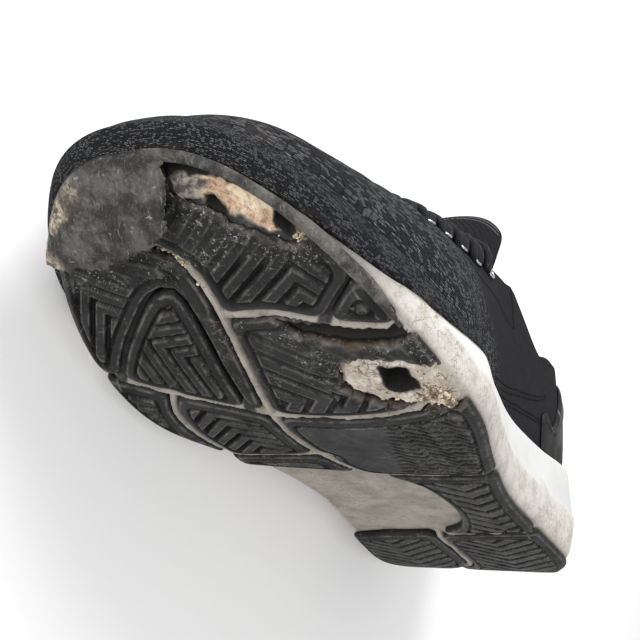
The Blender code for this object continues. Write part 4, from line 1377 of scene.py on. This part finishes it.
def make_toe_knit(colours, sizes):
    """The knit drawn down over the foam's side round the toe, in a wedge that ends on each flank."""
    rear, count, rows = 0.186, 170, 15
    t = np.linspace(0, 1, count)
    x = np.concatenate([LENGTH - (LENGTH - rear) * (1 - t) ** 2, LENGTH - (LENGTH - rear) * t[1:] ** 2])
    side = np.where(np.arange(len(x)) < count, -1, 1)[:, None]
    share = np.linspace(0, 1, rows)[None]
    total = look_up(SIDE_HEIGHTS, x, 1)
    low = np.minimum(look_up(DROP_LINE, x, 1), total - 0.0008)
    height = low[:, None] + (total - low)[:, None] * share
    total = total[:, None]
    inset = np.interp(height / total, [0, 0.12, 0.3, 0.52, 0.7, 0.9, 1],
                      [0.002, 0.0004, -0.001, -0.0013, 0.0004, 0.002, RIM_INSET])
    over = smooth(0.183, 0.2, x)[:, None] * [[0.0012, 0.0024, 0.0036, 0.0048]]
    height = np.hstack([height, total + 0 * over])
    inset = np.hstack([inset, RIM_INSET + over])
    share = np.hstack([share + 0 * total, 1 + over / 0.01])
    body = []
    for gap in (0.0009 * smooth(rear, 0.206, x)[:, None], -0.0006):
        crown = np.sin(math.pi * np.minimum(share, 1)) * np.maximum(gap, 0)
        sheet = plan_points((x / LENGTH)[:, None], inset - gap - 0.6 * crown, side, underside)
        sheet[..., 2] += height + gap * smooth(0.8, 1.1, share) - 0.0012 * smooth(1.3, 1.48, share)
        body.append(sheet)
    points, faces = two_sheets(*body)
    up = run_along(body[0], 1)
    run = run_along(body[0])[:, rows // 2, None] + 0 * share
    uv = 2.1 * joined(run, 0.4 - up[:, -1:] + up).reshape(-1, 2)
    edge = 0.35 * smooth(0.12, 0, share) + 0 * height
    attribute = {"quarter": np.zeros(2 * height.size), "dirt": np.tile(edge.ravel(), 2)}
    make_piece("toe_knit", None, points, faces, look("knit", knit_finish, colours, sizes),
               attribute, np.vstack([uv, uv - (0, 0.002)]))


def make_flap():
    """The peeled rubber at the toe: held along the toe's edge, lifted and frayed at the free one."""
    u, v = np.meshgrid(np.linspace(0, 1, 60), np.linspace(0, 1, 100), indexing="ij")
    held_y = FLAP_HELD[0] + (FLAP_HELD[1] - FLAP_HELD[0]) * v
    line = np.linspace(0.2, LENGTH + 0.0004, 600)
    centre, half = centre_line(line), half_width(line, -0.0007)
    held_x = np.where(held_y < centre[-1], np.interp(held_y, centre - half, line),
                      np.interp(-held_y, -(centre + half), line))
    free = smooth_line(FLAP_FREE, 0.0005)
    run = run_along(free)
    free_x, free_y = (np.interp(v * run[-1], run, free[:, k]) for k in range(2))
    frayed = 0.0011 * rough_noise(v * 0.05, 0 * v, 0.0045, 3, 4) * smooth(0.7, 1, u)
    ragged = 0.001 * rough_noise(u * 0.03, 0 * u, 0.004, 3, 8) * smooth(0.9, 1, v)
    x = held_x + (free_x - held_x) * u + frayed
    y = held_y + (free_y - held_y) * u + ragged
    lift = 0.0004 - 0.0022 * (1 - u) ** 6 + 0.0078 * u**1.4 * (0.25 + 0.75 * v)
    dome = 0.0022 * np.sin(math.pi * u) * np.sin(math.pi * clamp(v * 0.9 + 0.1))
    folds = 0.001 * rough_noise(x, y, 0.009, 3, 2) * smooth(0, 0.3, u)
    z = underside(x) - lift - dome - folds
    thick = 0.0017 * np.sqrt(np.clip(np.minimum(1 - u, 1 - v) * 18, 0.1, 1))
    points, faces = two_sheets(joined(x, y, z - thick), joined(x, y, z))
    edge = np.minimum((1 - u) * 0.7, 1 - v)
    tan = smooth(0.42, 0.04, u) * smooth(0.62, 0.2, v) + 0.8 * smooth(0.22, 0, v)
    # The edge term is a painted highlight along the flap's edges, in the tan fray colour.
    tan = tan * (0.75 + 0.8 * plan_noise(x, y, 0.005, 5)) + smooth(0.014, 0, edge) * 0.35
    attribute = {"worn": np.full(2 * u.size, 0.5),
                 "dirt": np.concatenate([clamp(tan).ravel(), np.full(u.size, 0.2)])}
    make_piece("peeled_rubber", "toe_flap", points, faces,
               look("peeled_rubber", flap_finish, 1), attribute)


def make_crumbs(colours, sizes):
    """Crumbs of foam and grit round the torn places."""
    draw = np.random.default_rng(41)
    tries = 36000
    x, y = draw.uniform(0.2, 0.302, tries), draw.uniform(-0.02, 0.064, tries)
    ball = torn_distances(x, y)[0]
    fresh = outline_distance(x, y, FRESH_FOAM)
    room = half_width(x, 0.0045) - np.abs(y - centre_line(x))
    chance = np.maximum.reduce([
        0.45 * bell(x, 0.214, 0.007) * bell(y, 0.054, 0.009) * (ball > -0.001),
        0.07 * bell(ball, 0.0004, 0.0012),
        0.95 * bell(x, 0.274, 0.0035) * bell(y, 0.032, 0.0048)
        + 0.45 * bell(x, 0.271, 0.005) * bell(y, -0.009, 0.006),
        0.008 * bell(fresh, 0.0004, 0.0014)])
    keep = (draw.random(tries) < chance) & (room > 0)
    x, y = x[keep], y[keep]
    depth, masks = crater(x, y)
    keep = masks["hollow"] < 0.02
    x, y, depth = x[keep], y[keep], depth[keep]
    places = joined(x, y, underside(x) + RUBBER + GAP + depth - 0.0002)
    turn = draw.uniform(0, 2 * math.pi, len(x))
    crumbs = scatter("foam_crumbs", places, np.tile([0, 0, -1], (len(x), 1)),
                     joined(np.cos(turn), np.sin(turn), 0 * turn), crumb_form,
                     {"Radius": sizes.crumb_size, "Variation": 0.6},
                     look("torn_crumbs", crumb_finish, colours.foam_torn))
    ride(crumbs)


# ---------------------------------------------------------------- the upper

def upper_stations():
    rear = THROAT * 0.5 * (1 - np.cos(math.pi * np.arange(111) / 110))
    front = THROAT + (LENGTH - THROAT) * np.sin(0.5 * math.pi * np.arange(1, 81) / 80)
    return np.concatenate([rear, front]) / LENGTH


def run_along(points, axis=0):
    """The distance walked over a grid of points from its first row."""
    steps = np.diff(points, axis=axis, prepend=np.take(points, [0], axis))
    return np.cumsum(np.linalg.norm(steps, axis=-1), axis)


def cloth_uv(points):
    """Both distances over a grid of points, the same for its two sheets."""
    return np.tile(joined(run_along(points), run_along(points, 1)).reshape(-1, 2), (2, 1))


def skin_normals(points):
    """Unit normals of a grid of points."""
    return unit(np.cross(np.gradient(points, axis=0), np.gradient(points, axis=1)))


def creases(x, share):
    """Shallow folds across the vamp, where the foot bends, and ripples on the quarter."""
    vamp = bell(x, 0.218, 0.022) * smooth(0.15, 0.5, share)
    folds = np.sin((x + 0.012 * share) * 2 * math.pi / 0.013 + 1.3) * 0.00055 * vamp
    rear = bell(x, 0.085, 0.045) * smooth(0.1, 0.3, share) * smooth(0.95, 0.7, share)
    ripple = plan_noise(x, share * 0.05, 0.012, 14) * 0.0006 * rear
    return folds + ripple + 0.00035 * plan_noise(x, share * 0.08, 0.02, 15)


def make_upper(colours, sizes):
    fractions = upper_stations()
    n, rows = len(fractions), 52
    share = (np.arange(rows + 1) / rows)[None] + 0 * fractions[:, None]
    fraction = fractions[:, None] + 0 * share
    x = fraction * LENGTH
    angle = edge_angle(fraction) * share
    throat = int((edge_angle(fractions) < 90).sum()) + 1
    quarter = smooth(0.15, 0.128, x - 0.045 * (share - 0.4))
    dirt = clamp(smooth(0.1, 0, share) + 0.5 * smooth(0.27, 0.3, x))
    free = smooth(0, 0.06, share) * smooth(1, 0.94, np.where(x < THROAT, share, 0))
    count = fraction.size
    body, uvs, quarters, dirts, grids = [], [], [], [], {}
    for side in (1, -1):
        outer = last_points(fraction, angle, side, UPPER_INSET)
        outer = outer + skin_normals(outer) * side * (creases(x, share) * free)[..., None]
        inner = last_points(fraction, angle, side, UPPER_INSET + wall(fraction, share))
        run = run_along(outer)[:, rows // 3, None] + 0 * share
        uv = joined(run, run_along(outer, 1) + (0.2 if side < 0 else 0))
        grids[side] = outer, inner
        for sheet in (outer, inner):
            body.append(sheet.reshape(-1, 3))
            uvs.append(uv.reshape(-1, 2))
            quarters.append(quarter.ravel())
            dirts.append(dirt.ravel())
    start = 4 * count
    faces = [grid_faces(n, rows + 1, k * count) for k in (0, 2)]
    for k, (outer, inner) in enumerate(grids.values()):
        line = 2 * k * count + np.arange(n) * (rows + 1)
        faces.append(joined(line[:-1], line[1:], line[1:] + count, line[:-1] + count))
        top = line[:throat] + rows
        chain = [top]
        a, b = outer[:throat, rows], inner[:throat, rows]
        thick = np.linalg.norm(a - b, axis=-1)
        thick[-1] = 0
        for part, bulge in ((0.25, 0.3), (0.5, 0.4), (0.75, 0.3)):
            crest = a + (b - a) * part
            crest[:, 2] += bulge * thick
            chain.append(np.arange(start, start + throat))
            body.append(crest)
            uvs.append(joined(np.linspace(0, 0.2, throat), np.full(throat, 0.1 * part)))
            quarters.append(np.ones(throat))
            dirts.append(np.zeros(throat))
            start += throat
        chain.append(top + count)
        faces += [joined(low[:-1], low[1:], high[1:], high[:-1]) for low, high in zip(chain, chain[1:])]
    lining = [grid_faces(n, rows + 1, k * count) for k in (1, 3)]
    faces = np.vstack(faces + lining)
    looks = np.arange(len(faces)) >= len(faces) - 2 * len(lining[0])
    make_piece("knit_upper", "upper", np.vstack(body), faces,
               look("knit", knit_finish, colours, sizes),
               {"quarter": np.concatenate(quarters), "dirt": np.concatenate(dirts)}, np.vstack(uvs),
               (look("lining_cloth", cloth_finish, colours.cloth, 0.0016), looks))


def overlay(name, x, share, side, thick, colours):
    """A thin cloth panel on the upper's outer face, over a grid of places, with its edges turned down."""
    fraction = x / LENGTH
    angle = edge_angle(fraction) * share
    raised = np.zeros(x.shape)
    raised[1:-1, 1:-1] = thick
    lifted = last_points(fraction, angle, side, UPPER_INSET - 0.0003)
    normal = skin_normals(lifted) * side
    folds = creases(x, share)
    outer = lifted + normal * (raised + folds)[..., None]
    inner = last_points(fraction, angle, side, UPPER_INSET + 0.0004) + normal * folds[..., None]
    points, faces = two_sheets(outer, inner)
    make_piece(name, None, points, faces, panel_cloth(colours), None, cloth_uv(outer))
    return outer, normal


def stitches(name, lines, facing, length, thick, variation):
    """Stitches along lines of points, one at each point."""
    along = [np.gradient(line, axis=0) for line in lines]
    made = scatter(name, *(np.vstack(parts) for parts in (lines, facing, along)), stitch_form,
                   {"Length": length, "Thickness": thick, "Variation": variation},
                   look("panel_thread", thread_finish, (0.055, 0.055, 0.06)))
    ride(made)


def make_panels(colours, sizes):
    """Panels that carry the eyelets, each with two lines of stitches."""
    lines, facing = [], []
    for side, name in ((1, "outer_eyelet_panel"), (-1, "inner_eyelet_panel")):
        x = np.linspace(0.102, 0.2076, 90)[:, None] + np.zeros((1, 24))
        low = look_up(PANEL_LOW, x, 1)
        share = low + (0.992 - low) * np.linspace(0, 1, 24)[None]
        outer, normal = overlay(name, x, share, side, 0.0009, colours)
        for row in (2, 21):
            run = run_along(outer[3:-2, row])
            marks = np.arange(0.001, run[-1], sizes.stitch_length * 1.35)
            for values, found in ((outer, lines), (normal, facing)):
                found.append(joined(*(np.interp(marks, run, values[3:-2, row, k]) for k in range(3))))
    stitches("panel_stitches", lines, facing, sizes.stitch_length, 0.0007, 0.06)


def make_quarter_strips(colours):
    """Raised strips on each flank: one swept back from the eyelets, one along the foam and a heel tab."""
    strips = (
        # name, x from and to, share at the middle from and to, bow, half width
        ("sweep", 0.056, 0.134, 0.66, 0.16, -0.1, 0.016),
        ("low_sweep", 0.066, 0.15, 0.36, 0.1, -0.06, 0.012),
        ("heel_tab", 0, 0.017, 0.76, 0.76, 0, 0.17),
    )
    t, across = np.linspace(0, 1, 70)[:, None], np.linspace(-1, 1, 12)[None]
    for side, flank in ((1, "outer"), (-1, "inner")):
        for name, start, end, first, last, bow, half in strips:
            x = start + (end - start) * t + 0 * across
            share = first + (last - first) * t + bow * np.sin(math.pi * t) + half * across
            overlay(f"{flank}_{name}", x, share, side, 0.0007, colours)


def make_eyelets(colours, sizes):
    """Metal rings in pairs along the throat."""
    spots, facing, along = [], [], []
    for station in STATIONS:
        edge = look_up(EDGE, station, 1) - EYELET_DROP
        for side in (1, -1):
            here, ahead, up = (last_points(np.array((station + dx) / LENGTH), edge + da, side,
                                           UPPER_INSET - 0.0012)
                               for dx, da in ((0, 0), (0.002, 0), (0, 2)))
            spots.append(here)
            facing.append(unit(np.cross(ahead - here, up - here) * side))
            along.append(unit(ahead - here))
    facing = np.array(facing)
    rings = scatter("eyelets", np.array(spots) + facing * 0.0003, facing, np.array(along), ring_form,
                    {"Radius": sizes.eyelet_radius, "Thickness": 0.00055, "Variation": 0.0},
                    look("eyelet_metal", metal_finish, colours.eyelet))
    ride(rings)


def tube(path, width, thick, up):
    """Points, faces and UV of a flat-round tube along a path whose flat faces look along up."""
    along = unit(np.gradient(path, axis=0))
    across = unit(np.cross(along, up))
    lift = np.cross(across, along)
    a = np.linspace(0, 2 * math.pi, 16, endpoint=False)
    flat, tall = ((0.5 * np.sign(part) * np.abs(part) ** 0.8)[:, None] for part in (np.cos(a), np.sin(a)))
    points, faces = capped(path[:, None] + across[:, None] * flat * width[:, None, None]
                           + lift[:, None] * tall * thick)
    uv = np.stack(np.meshgrid(run_along(path), a * 0.0022, indexing="ij"), -1).reshape(-1, 2)
    return points, faces, uv


def lace_route(start, end, lift):
    """The pulled lace from one eyelet over the throat to another, diving into both."""
    t = np.linspace(0, 1, 48)
    x = start[0] + (end[0] - start[0]) * t
    station, side = (np.where(t < 0.5, a, b) for a, b in zip(start, end))
    edge = look_up(EDGE, station, 1)
    degrees = 90 - (90 - edge + EYELET_DROP) * np.abs(1 - 2 * t)
    over = clamp((degrees - edge - 2) / 10)
    inset = UPPER_INSET - 0.0029 + 0.003 * over - lift * np.sin(math.pi * t)
    path = last_points(x / LENGTH, degrees, side, inset)
    up = unit(path - last_points(x / LENGTH, degrees, side, inset + 0.004))
    wide = np.vstack([np.repeat(up[:1], 3, 0), up, np.repeat(up[-1:], 3, 0)])
    up = joined(*(np.convolve(part, np.ones(7) / 7, "valid") for part in wide.T))
    dive = clamp(1 - np.minimum(t, 1 - t) / 0.07) ** 1.5
    return path - up * (0.0034 * dive)[:, None], up, dive


def make_laces(colours, sizes):
    shift = 0.0026
    first = STATIONS[0] + shift
    runs = [("lace_bar_front", "lace_front", [((first, 1), (first, -1), 0)])]
    for n, (front, rear) in enumerate(zip(STATIONS, STATIONS[1:]), 1):
        runs.append((f"lace_pair_{n}", f"lace_cross_{n}",
                     [((front - shift, 1), (rear + shift, -1), 0),
                      ((front - shift, -1), (rear + shift, 1), 0.0016)]))
    for name, node, pair in runs:
        points, faces, uvs = [], [], []
        for start, end, lift in pair:
            path, up, dive = lace_route(start, end, lift)
            tube_points, tube_faces, uv = tube(path, sizes.lace_width * (1 - 0.35 * dive), LACE_THICKNESS, up)
            offset = sum(len(made) for made in points)
            points.append(tube_points)
            uvs.append(uv)
            faces += [[v + offset for v in face] for face in tube_faces]
        make_piece(name, node, np.vstack(points), faces,
                   look("lace_braid", lace_finish, colours), None, np.vstack(uvs))


def tongue_points(x, across):
    """The tongue's outer face: across runs from -1, its inner edge, to 1."""
    inset = UPPER_INSET + KNIT + TONGUE_GAP
    fraction = (x - inset) / (LENGTH - 2 * inset)
    free = clamp((TONGUE_FREE - x) / (TONGUE_FREE - TONGUE_END))
    reach = (90 - look_up(TONGUE_EDGE, x, 1)) * rounded(x - TONGUE_END + 0.0005, 0.015, 2.2)
    degrees = 90 - reach * np.abs(across)
    under = clamp((edge_angle(fraction) + 16 - degrees) / 12)
    deeper = inset + under * (1 - free) * (wall(fraction, 1) - KNIT)
    point = last_points(fraction, degrees, np.where(across < 0, -1, 1), deeper)
    centre = centre_line(x)
    point[..., 1] = centre + (point[..., 1] - centre) * (1 + TONGUE_SPREAD * free)
    return point


def make_tongue(colours):
    """A padded tongue whose free top bulges, with a bound edge and a bare band across it."""
    t = (np.arange(91) / 90)[:, None]
    across = np.linspace(-1, 1, 47)[None] + 0 * t
    x = TONGUE_END + (TONGUE_START - TONGUE_END) * t**1.7 + 0 * across
    outer = tongue_points(x, across)
    normal = -skin_normals(outer)
    normal *= np.where(normal[..., 2:] < 0, -1, 1)
    padding = 0.0028 + 0.0042 * clamp((0.15 - x) / 0.03)
    padding = padding * rounded(1 - np.abs(across) + 0.12, 0.5, 2) * rounded((20 * t + 0.6) / 4, 1, 2)
    lobe = smooth(0.122, 0.106, x) * rounded(1 - np.abs(across) + 0.02, 0.7, 2)
    quilt = 0.0005 * np.cos(across * 2.5 * math.pi) * smooth(0.128, 0.122, x) * smooth(0.11, 0.118, x)
    folds = 0.0005 * plan_noise(x, across * 0.03, 0.01, 31)
    swell = 0.0016 * lobe - 0.0009 * bell(x, 0.1155, 0.0012) + quilt + folds * smooth(0.13, 0.11, x)
    outer = outer + normal * swell[..., None]
    points, faces = two_sheets(outer, outer - normal * (padding + 0.001 * lobe)[..., None])
    piece = make_piece("padded_tongue", "tongue", points, faces,
                       look("tongue_weave", cloth_finish, colours.cloth, 0.0011), None, cloth_uv(outer))
    lines, facing = ([values[row, 3:-3] for row in (11, 13)] for values in (outer, normal))
    stitches("tongue_stitches", lines, facing, 0.0016, 0.0005, 0.05)


def section_angles(fraction, side, inset, height):
    """The section's angles at which the last reaches the given heights."""
    low = 0 * fraction
    high = low + 90
    for _ in range(26):
        middle = (low + high) / 2
        below = last_points(fraction, middle, side, inset)[..., 2] < height
        low, high = np.where(below, middle, low), np.where(below, high, middle)
    return low[:, None]


def make_counter(colours):
    """The heel counter: a moulded band with a raised fin at each front end and a dark base."""
    front, steps, rows = 0.064, 60, 26
    half = front / LENGTH * (np.arange(steps + 1) / steps) ** 1.8
    fraction = np.concatenate([half[::-1], half[1:]])
    walk = np.arange(-steps, steps + 1)
    side = np.where(walk <= 0, -1, 1)
    share = (np.arange(rows + 1) / rows)[None] + 0 * fraction[:, None]
    x = fraction * LENGTH
    tall = 0.015 + 0.027 * smooth(0.05, 0.022, x) + 0.004 * bell(x, 0.06, 0.004)
    ends = (steps - np.abs(walk))[:, None] / 5
    relief = rounded(np.minimum(np.minimum(share, 1 - share) * 9, ends), 1, 2)
    sheets = []
    for inset in (UPPER_INSET - GAP - 0.0001, UPPER_INSET - 0.0019):
        low, high = (section_angles(fraction, side, inset, rim(inset + x) + more) for more in (0.0008, tall))
        sheets.append(last_points(fraction[:, None] + 0 * share, low + (high - low) * share,
                                  side[:, None] + 0 * share, inset))
    inner, outer = sheets
    out = outer - inner
    x = x[:, None]
    ridge = 0.0006 * bell(share, 0.78, 0.05) + 0.0007 * bell(x, 0.05, 0.0022)
    outer = inner + out * (0.3 + 0.7 * relief)[..., None] + unit(out) * (ridge * relief)[..., None]
    points, faces = two_sheets(outer, inner)
    fin = smooth(0.022, 0.03, x) * smooth(0.048, 0.04, x)
    fin = fin * smooth(0.3, 0.42, share) * smooth(0.96, 0.84, share)
    make_piece("moulded_counter", "heel_counter", points, faces,
               look("moulded_shell", counter_finish, colours), {"fin": np.tile(fin.ravel(), 2)})


def make_insole():
    """The sock liner: a thin cushion with a rounded edge."""
    inset = UPPER_INSET + KNIT + 0.0006 + 0.0016
    fractions = 0.5 - 0.5 * np.cos(math.pi * np.arange(121) / 120)
    edge = 0.001
    layers = ((inset + edge, 0), (inset, edge), (inset, INSOLE_THICKNESS - edge),
              (inset + edge, INSOLE_THICKNESS))
    body = []
    for gap, height in layers:
        outer, inner = (plan_points(fractions, gap, side, lambda x: dish(x) + GAP + height)
                        for side in (1, -1))
        body += [outer, inner[::-1]]
    faces = [grid_faces(len(layers), 2 * len(fractions), 0, wrap=True)]
    u = np.linspace(-1, 1, 40)[None]
    for gap, height in (layers[0], layers[-1]):
        face = plan_points(fractions[:, None], gap, u, lambda x: dish(x) + GAP + height)
        if height > 0:
            face[..., 2] += 0.0006 * plan_noise(face[..., 0], face[..., 1], 0.02, 17) * (1 - np.abs(u))
        faces.append(grid_faces(len(fractions), u.size, sum(len(part) for part in body)))
        body.append(face.reshape(-1, 3))
    points = np.vstack(body)
    piece = make_piece("sock_liner", "insole", points, np.vstack(faces),
                       look("liner_weave", cloth_finish, (0.03, 0.03, 0.033), 0.0012), None, points[:, :2])


# ---------------------------------------------------------------- the stage

def make_stage(stage):
    scene = bpy.context.scene
    scene.view_settings.view_transform = "Standard"
    floor_mesh = bpy.data.meshes.new("floor")
    bm = bmesh.new()
    bmesh.ops.create_grid(bm, x_segments=40, y_segments=40, size=3)
    bm.to_mesh(floor_mesh)
    bm.free()
    floor = add_object("floor", floor_mesh)
    floor_mesh.materials.append(shader(
        "floor_paint", lambda t: t.mix(t.noise(3) * 0.04, stage.floor, tint(stage.floor, 0.9)), 0.6))

    world = scene.world or bpy.data.worlds.new("studio")
    scene.world = world
    world.use_nodes = True
    back = next(n for n in world.node_tree.nodes if n.type == "BACKGROUND")
    back.inputs["Color"].default_value = (1, 1, 1, 1)
    back.inputs["Strength"].default_value = 0.75

    level = math.cos(stage.below)
    towards = Vector((math.cos(stage.azimuth) * level, math.sin(stage.azimuth) * level,
                      -math.sin(stage.below)))
    right = Vector((0, 0, 1)).cross(towards).normalized()
    up = towards.cross(right)
    c, s = math.cos(stage.roll), math.sin(stage.roll)
    right, up = right * c + up * s, up * c - right * s
    placed = Matrix((right, up, towards)).transposed().to_4x4()
    placed.translation = Vector(stage.aim) + towards * stage.distance
    camera_data = bpy.data.cameras.new("camera")
    camera_data.lens = stage.lens
    camera_data.clip_start = 0.01
    camera = add_object("camera", camera_data)
    camera.matrix_world = LIE @ placed
    scene.camera = camera

    lamp_distance, least_rise = 0.9, 0.15
    for name, parts, power, size in (
        # name, ways to the right, up and to the camera, share of the key light's power, size
        ("key", (0.55, 0.75, 0.35), 1, 0.55),
        ("fill", (-0.9, 0.25, 0.45), 0.45, 0.7),
        ("low", (0.15, -0.6, 0.9), 0.16, 0.6),
    ):
        data = bpy.data.lights.new(name, "AREA")
        data.shape = "DISK"
        data.size = size
        data.energy = stage.key * power
        lamp = add_object(name, data)
        way = (LIE.to_3x3() @ (right * parts[0] + up * parts[1] + towards * parts[2])).normalized()
        if way.z < least_rise:
            way.z = least_rise
            way.normalize()
        lamp.location = LIE @ Vector(stage.aim) + way * lamp_distance
        lamp.rotation_euler = way.to_track_quat("Z", "Y").to_euler()


# ---------------------------------------------------------------- operators and panel

def settings(context):
    return context.scene.shoe_colours, context.scene.shoe_sizes


class WORN_OT_stage(bpy.types.Operator):
    """Makes the floor, the lights and the camera"""
    bl_idname = "worn_shoe.stage"
    bl_label = "Stage"

    def execute(self, context):
        make_stage(context.scene.shoe_stage)
        return {"FINISHED"}


class WORN_OT_midsole(bpy.types.Operator):
    """Makes the foam midsole with its torn places and their crumbs"""
    bl_idname = "worn_shoe.midsole"
    bl_label = "Midsole"

    def execute(self, context):
        colours, sizes = settings(context)
        make_midsole(colours)
        make_crumbs(colours, sizes)
        return {"FINISHED"}


class WORN_OT_outsole(bpy.types.Operator):
    """Makes the rubber pads of the outsole, the band along the toe and the peeled piece"""
    bl_idname = "worn_shoe.outsole"
    bl_label = "Outsole"

    def execute(self, context):
        colours, sizes = settings(context)
        make_outsole(colours, sizes)
        make_rand()
        make_flap()
        return {"FINISHED"}


class WORN_OT_upper(bpy.types.Operator):
    """Makes the knitted upper, the knit over the toe, the eyelet panels and the strips"""
    bl_idname = "worn_shoe.upper"
    bl_label = "Upper"

    def execute(self, context):
        colours, sizes = settings(context)
        make_upper(colours, sizes)
        make_toe_knit(colours, sizes)
        make_panels(colours, sizes)
        make_quarter_strips(colours)
        return {"FINISHED"}


class WORN_OT_counter(bpy.types.Operator):
    """Makes the moulded heel counter"""
    bl_idname = "worn_shoe.counter"
    bl_label = "Heel counter"

    def execute(self, context):
        make_counter(context.scene.shoe_colours)
        return {"FINISHED"}


class WORN_OT_tongue(bpy.types.Operator):
    """Makes the padded tongue and the sock liner"""
    bl_idname = "worn_shoe.tongue"
    bl_label = "Tongue and sock liner"

    def execute(self, context):
        make_tongue(context.scene.shoe_colours)
        make_insole()
        return {"FINISHED"}


class WORN_OT_laces(bpy.types.Operator):
    """Makes the lace runs and the eyelets"""
    bl_idname = "worn_shoe.laces"
    bl_label = "Laces and eyelets"

    def execute(self, context):
        colours, sizes = settings(context)
        make_laces(colours, sizes)
        make_eyelets(colours, sizes)
        return {"FINISHED"}


class WORN_PT_panel(bpy.types.Panel):
    """Sizes, colours and the making steps of the worn shoe"""
    bl_idname = "WORN_PT_panel"
    bl_label = "Worn Shoe"
    bl_space_type = "VIEW_3D"
    bl_region_type = "UI"
    bl_category = "Worn Shoe"

    def draw(self, context):
        scene = context.scene
        for group in (scene.shoe_sizes, scene.shoe_colours, scene.shoe_stage):
            box = self.layout.box()
            for key in group.bl_rna.properties.keys():
                if key not in ("rna_type", "name"):
                    box.prop(group, key)
        for step in STEPS:
            self.layout.operator(step.bl_idname)


STEPS = (WORN_OT_stage, WORN_OT_midsole, WORN_OT_outsole, WORN_OT_upper, WORN_OT_counter,
         WORN_OT_tongue, WORN_OT_laces)
CLASSES = (WornShoeSizes, WornShoeColours, WornShoeStage) + STEPS + (WORN_PT_panel,)


def register():
    for made in CLASSES:
        bpy.utils.register_class(made)
    bpy.types.Scene.shoe_sizes = PointerProperty(type=WornShoeSizes)
    bpy.types.Scene.shoe_colours = PointerProperty(type=WornShoeColours)
    bpy.types.Scene.shoe_stage = PointerProperty(type=WornShoeStage)


def unregister():
    del bpy.types.Scene.shoe_stage
    del bpy.types.Scene.shoe_colours
    del bpy.types.Scene.shoe_sizes
    for made in reversed(CLASSES):
        bpy.utils.unregister_class(made)


def main():
    register()
    bpy.ops.worn_shoe.stage()
    bpy.ops.worn_shoe.midsole()
    bpy.ops.worn_shoe.outsole()
    bpy.ops.worn_shoe.upper()
    bpy.ops.worn_shoe.counter()
    bpy.ops.worn_shoe.tongue()
    bpy.ops.worn_shoe.laces()


if __name__ == "__main__":
    main()
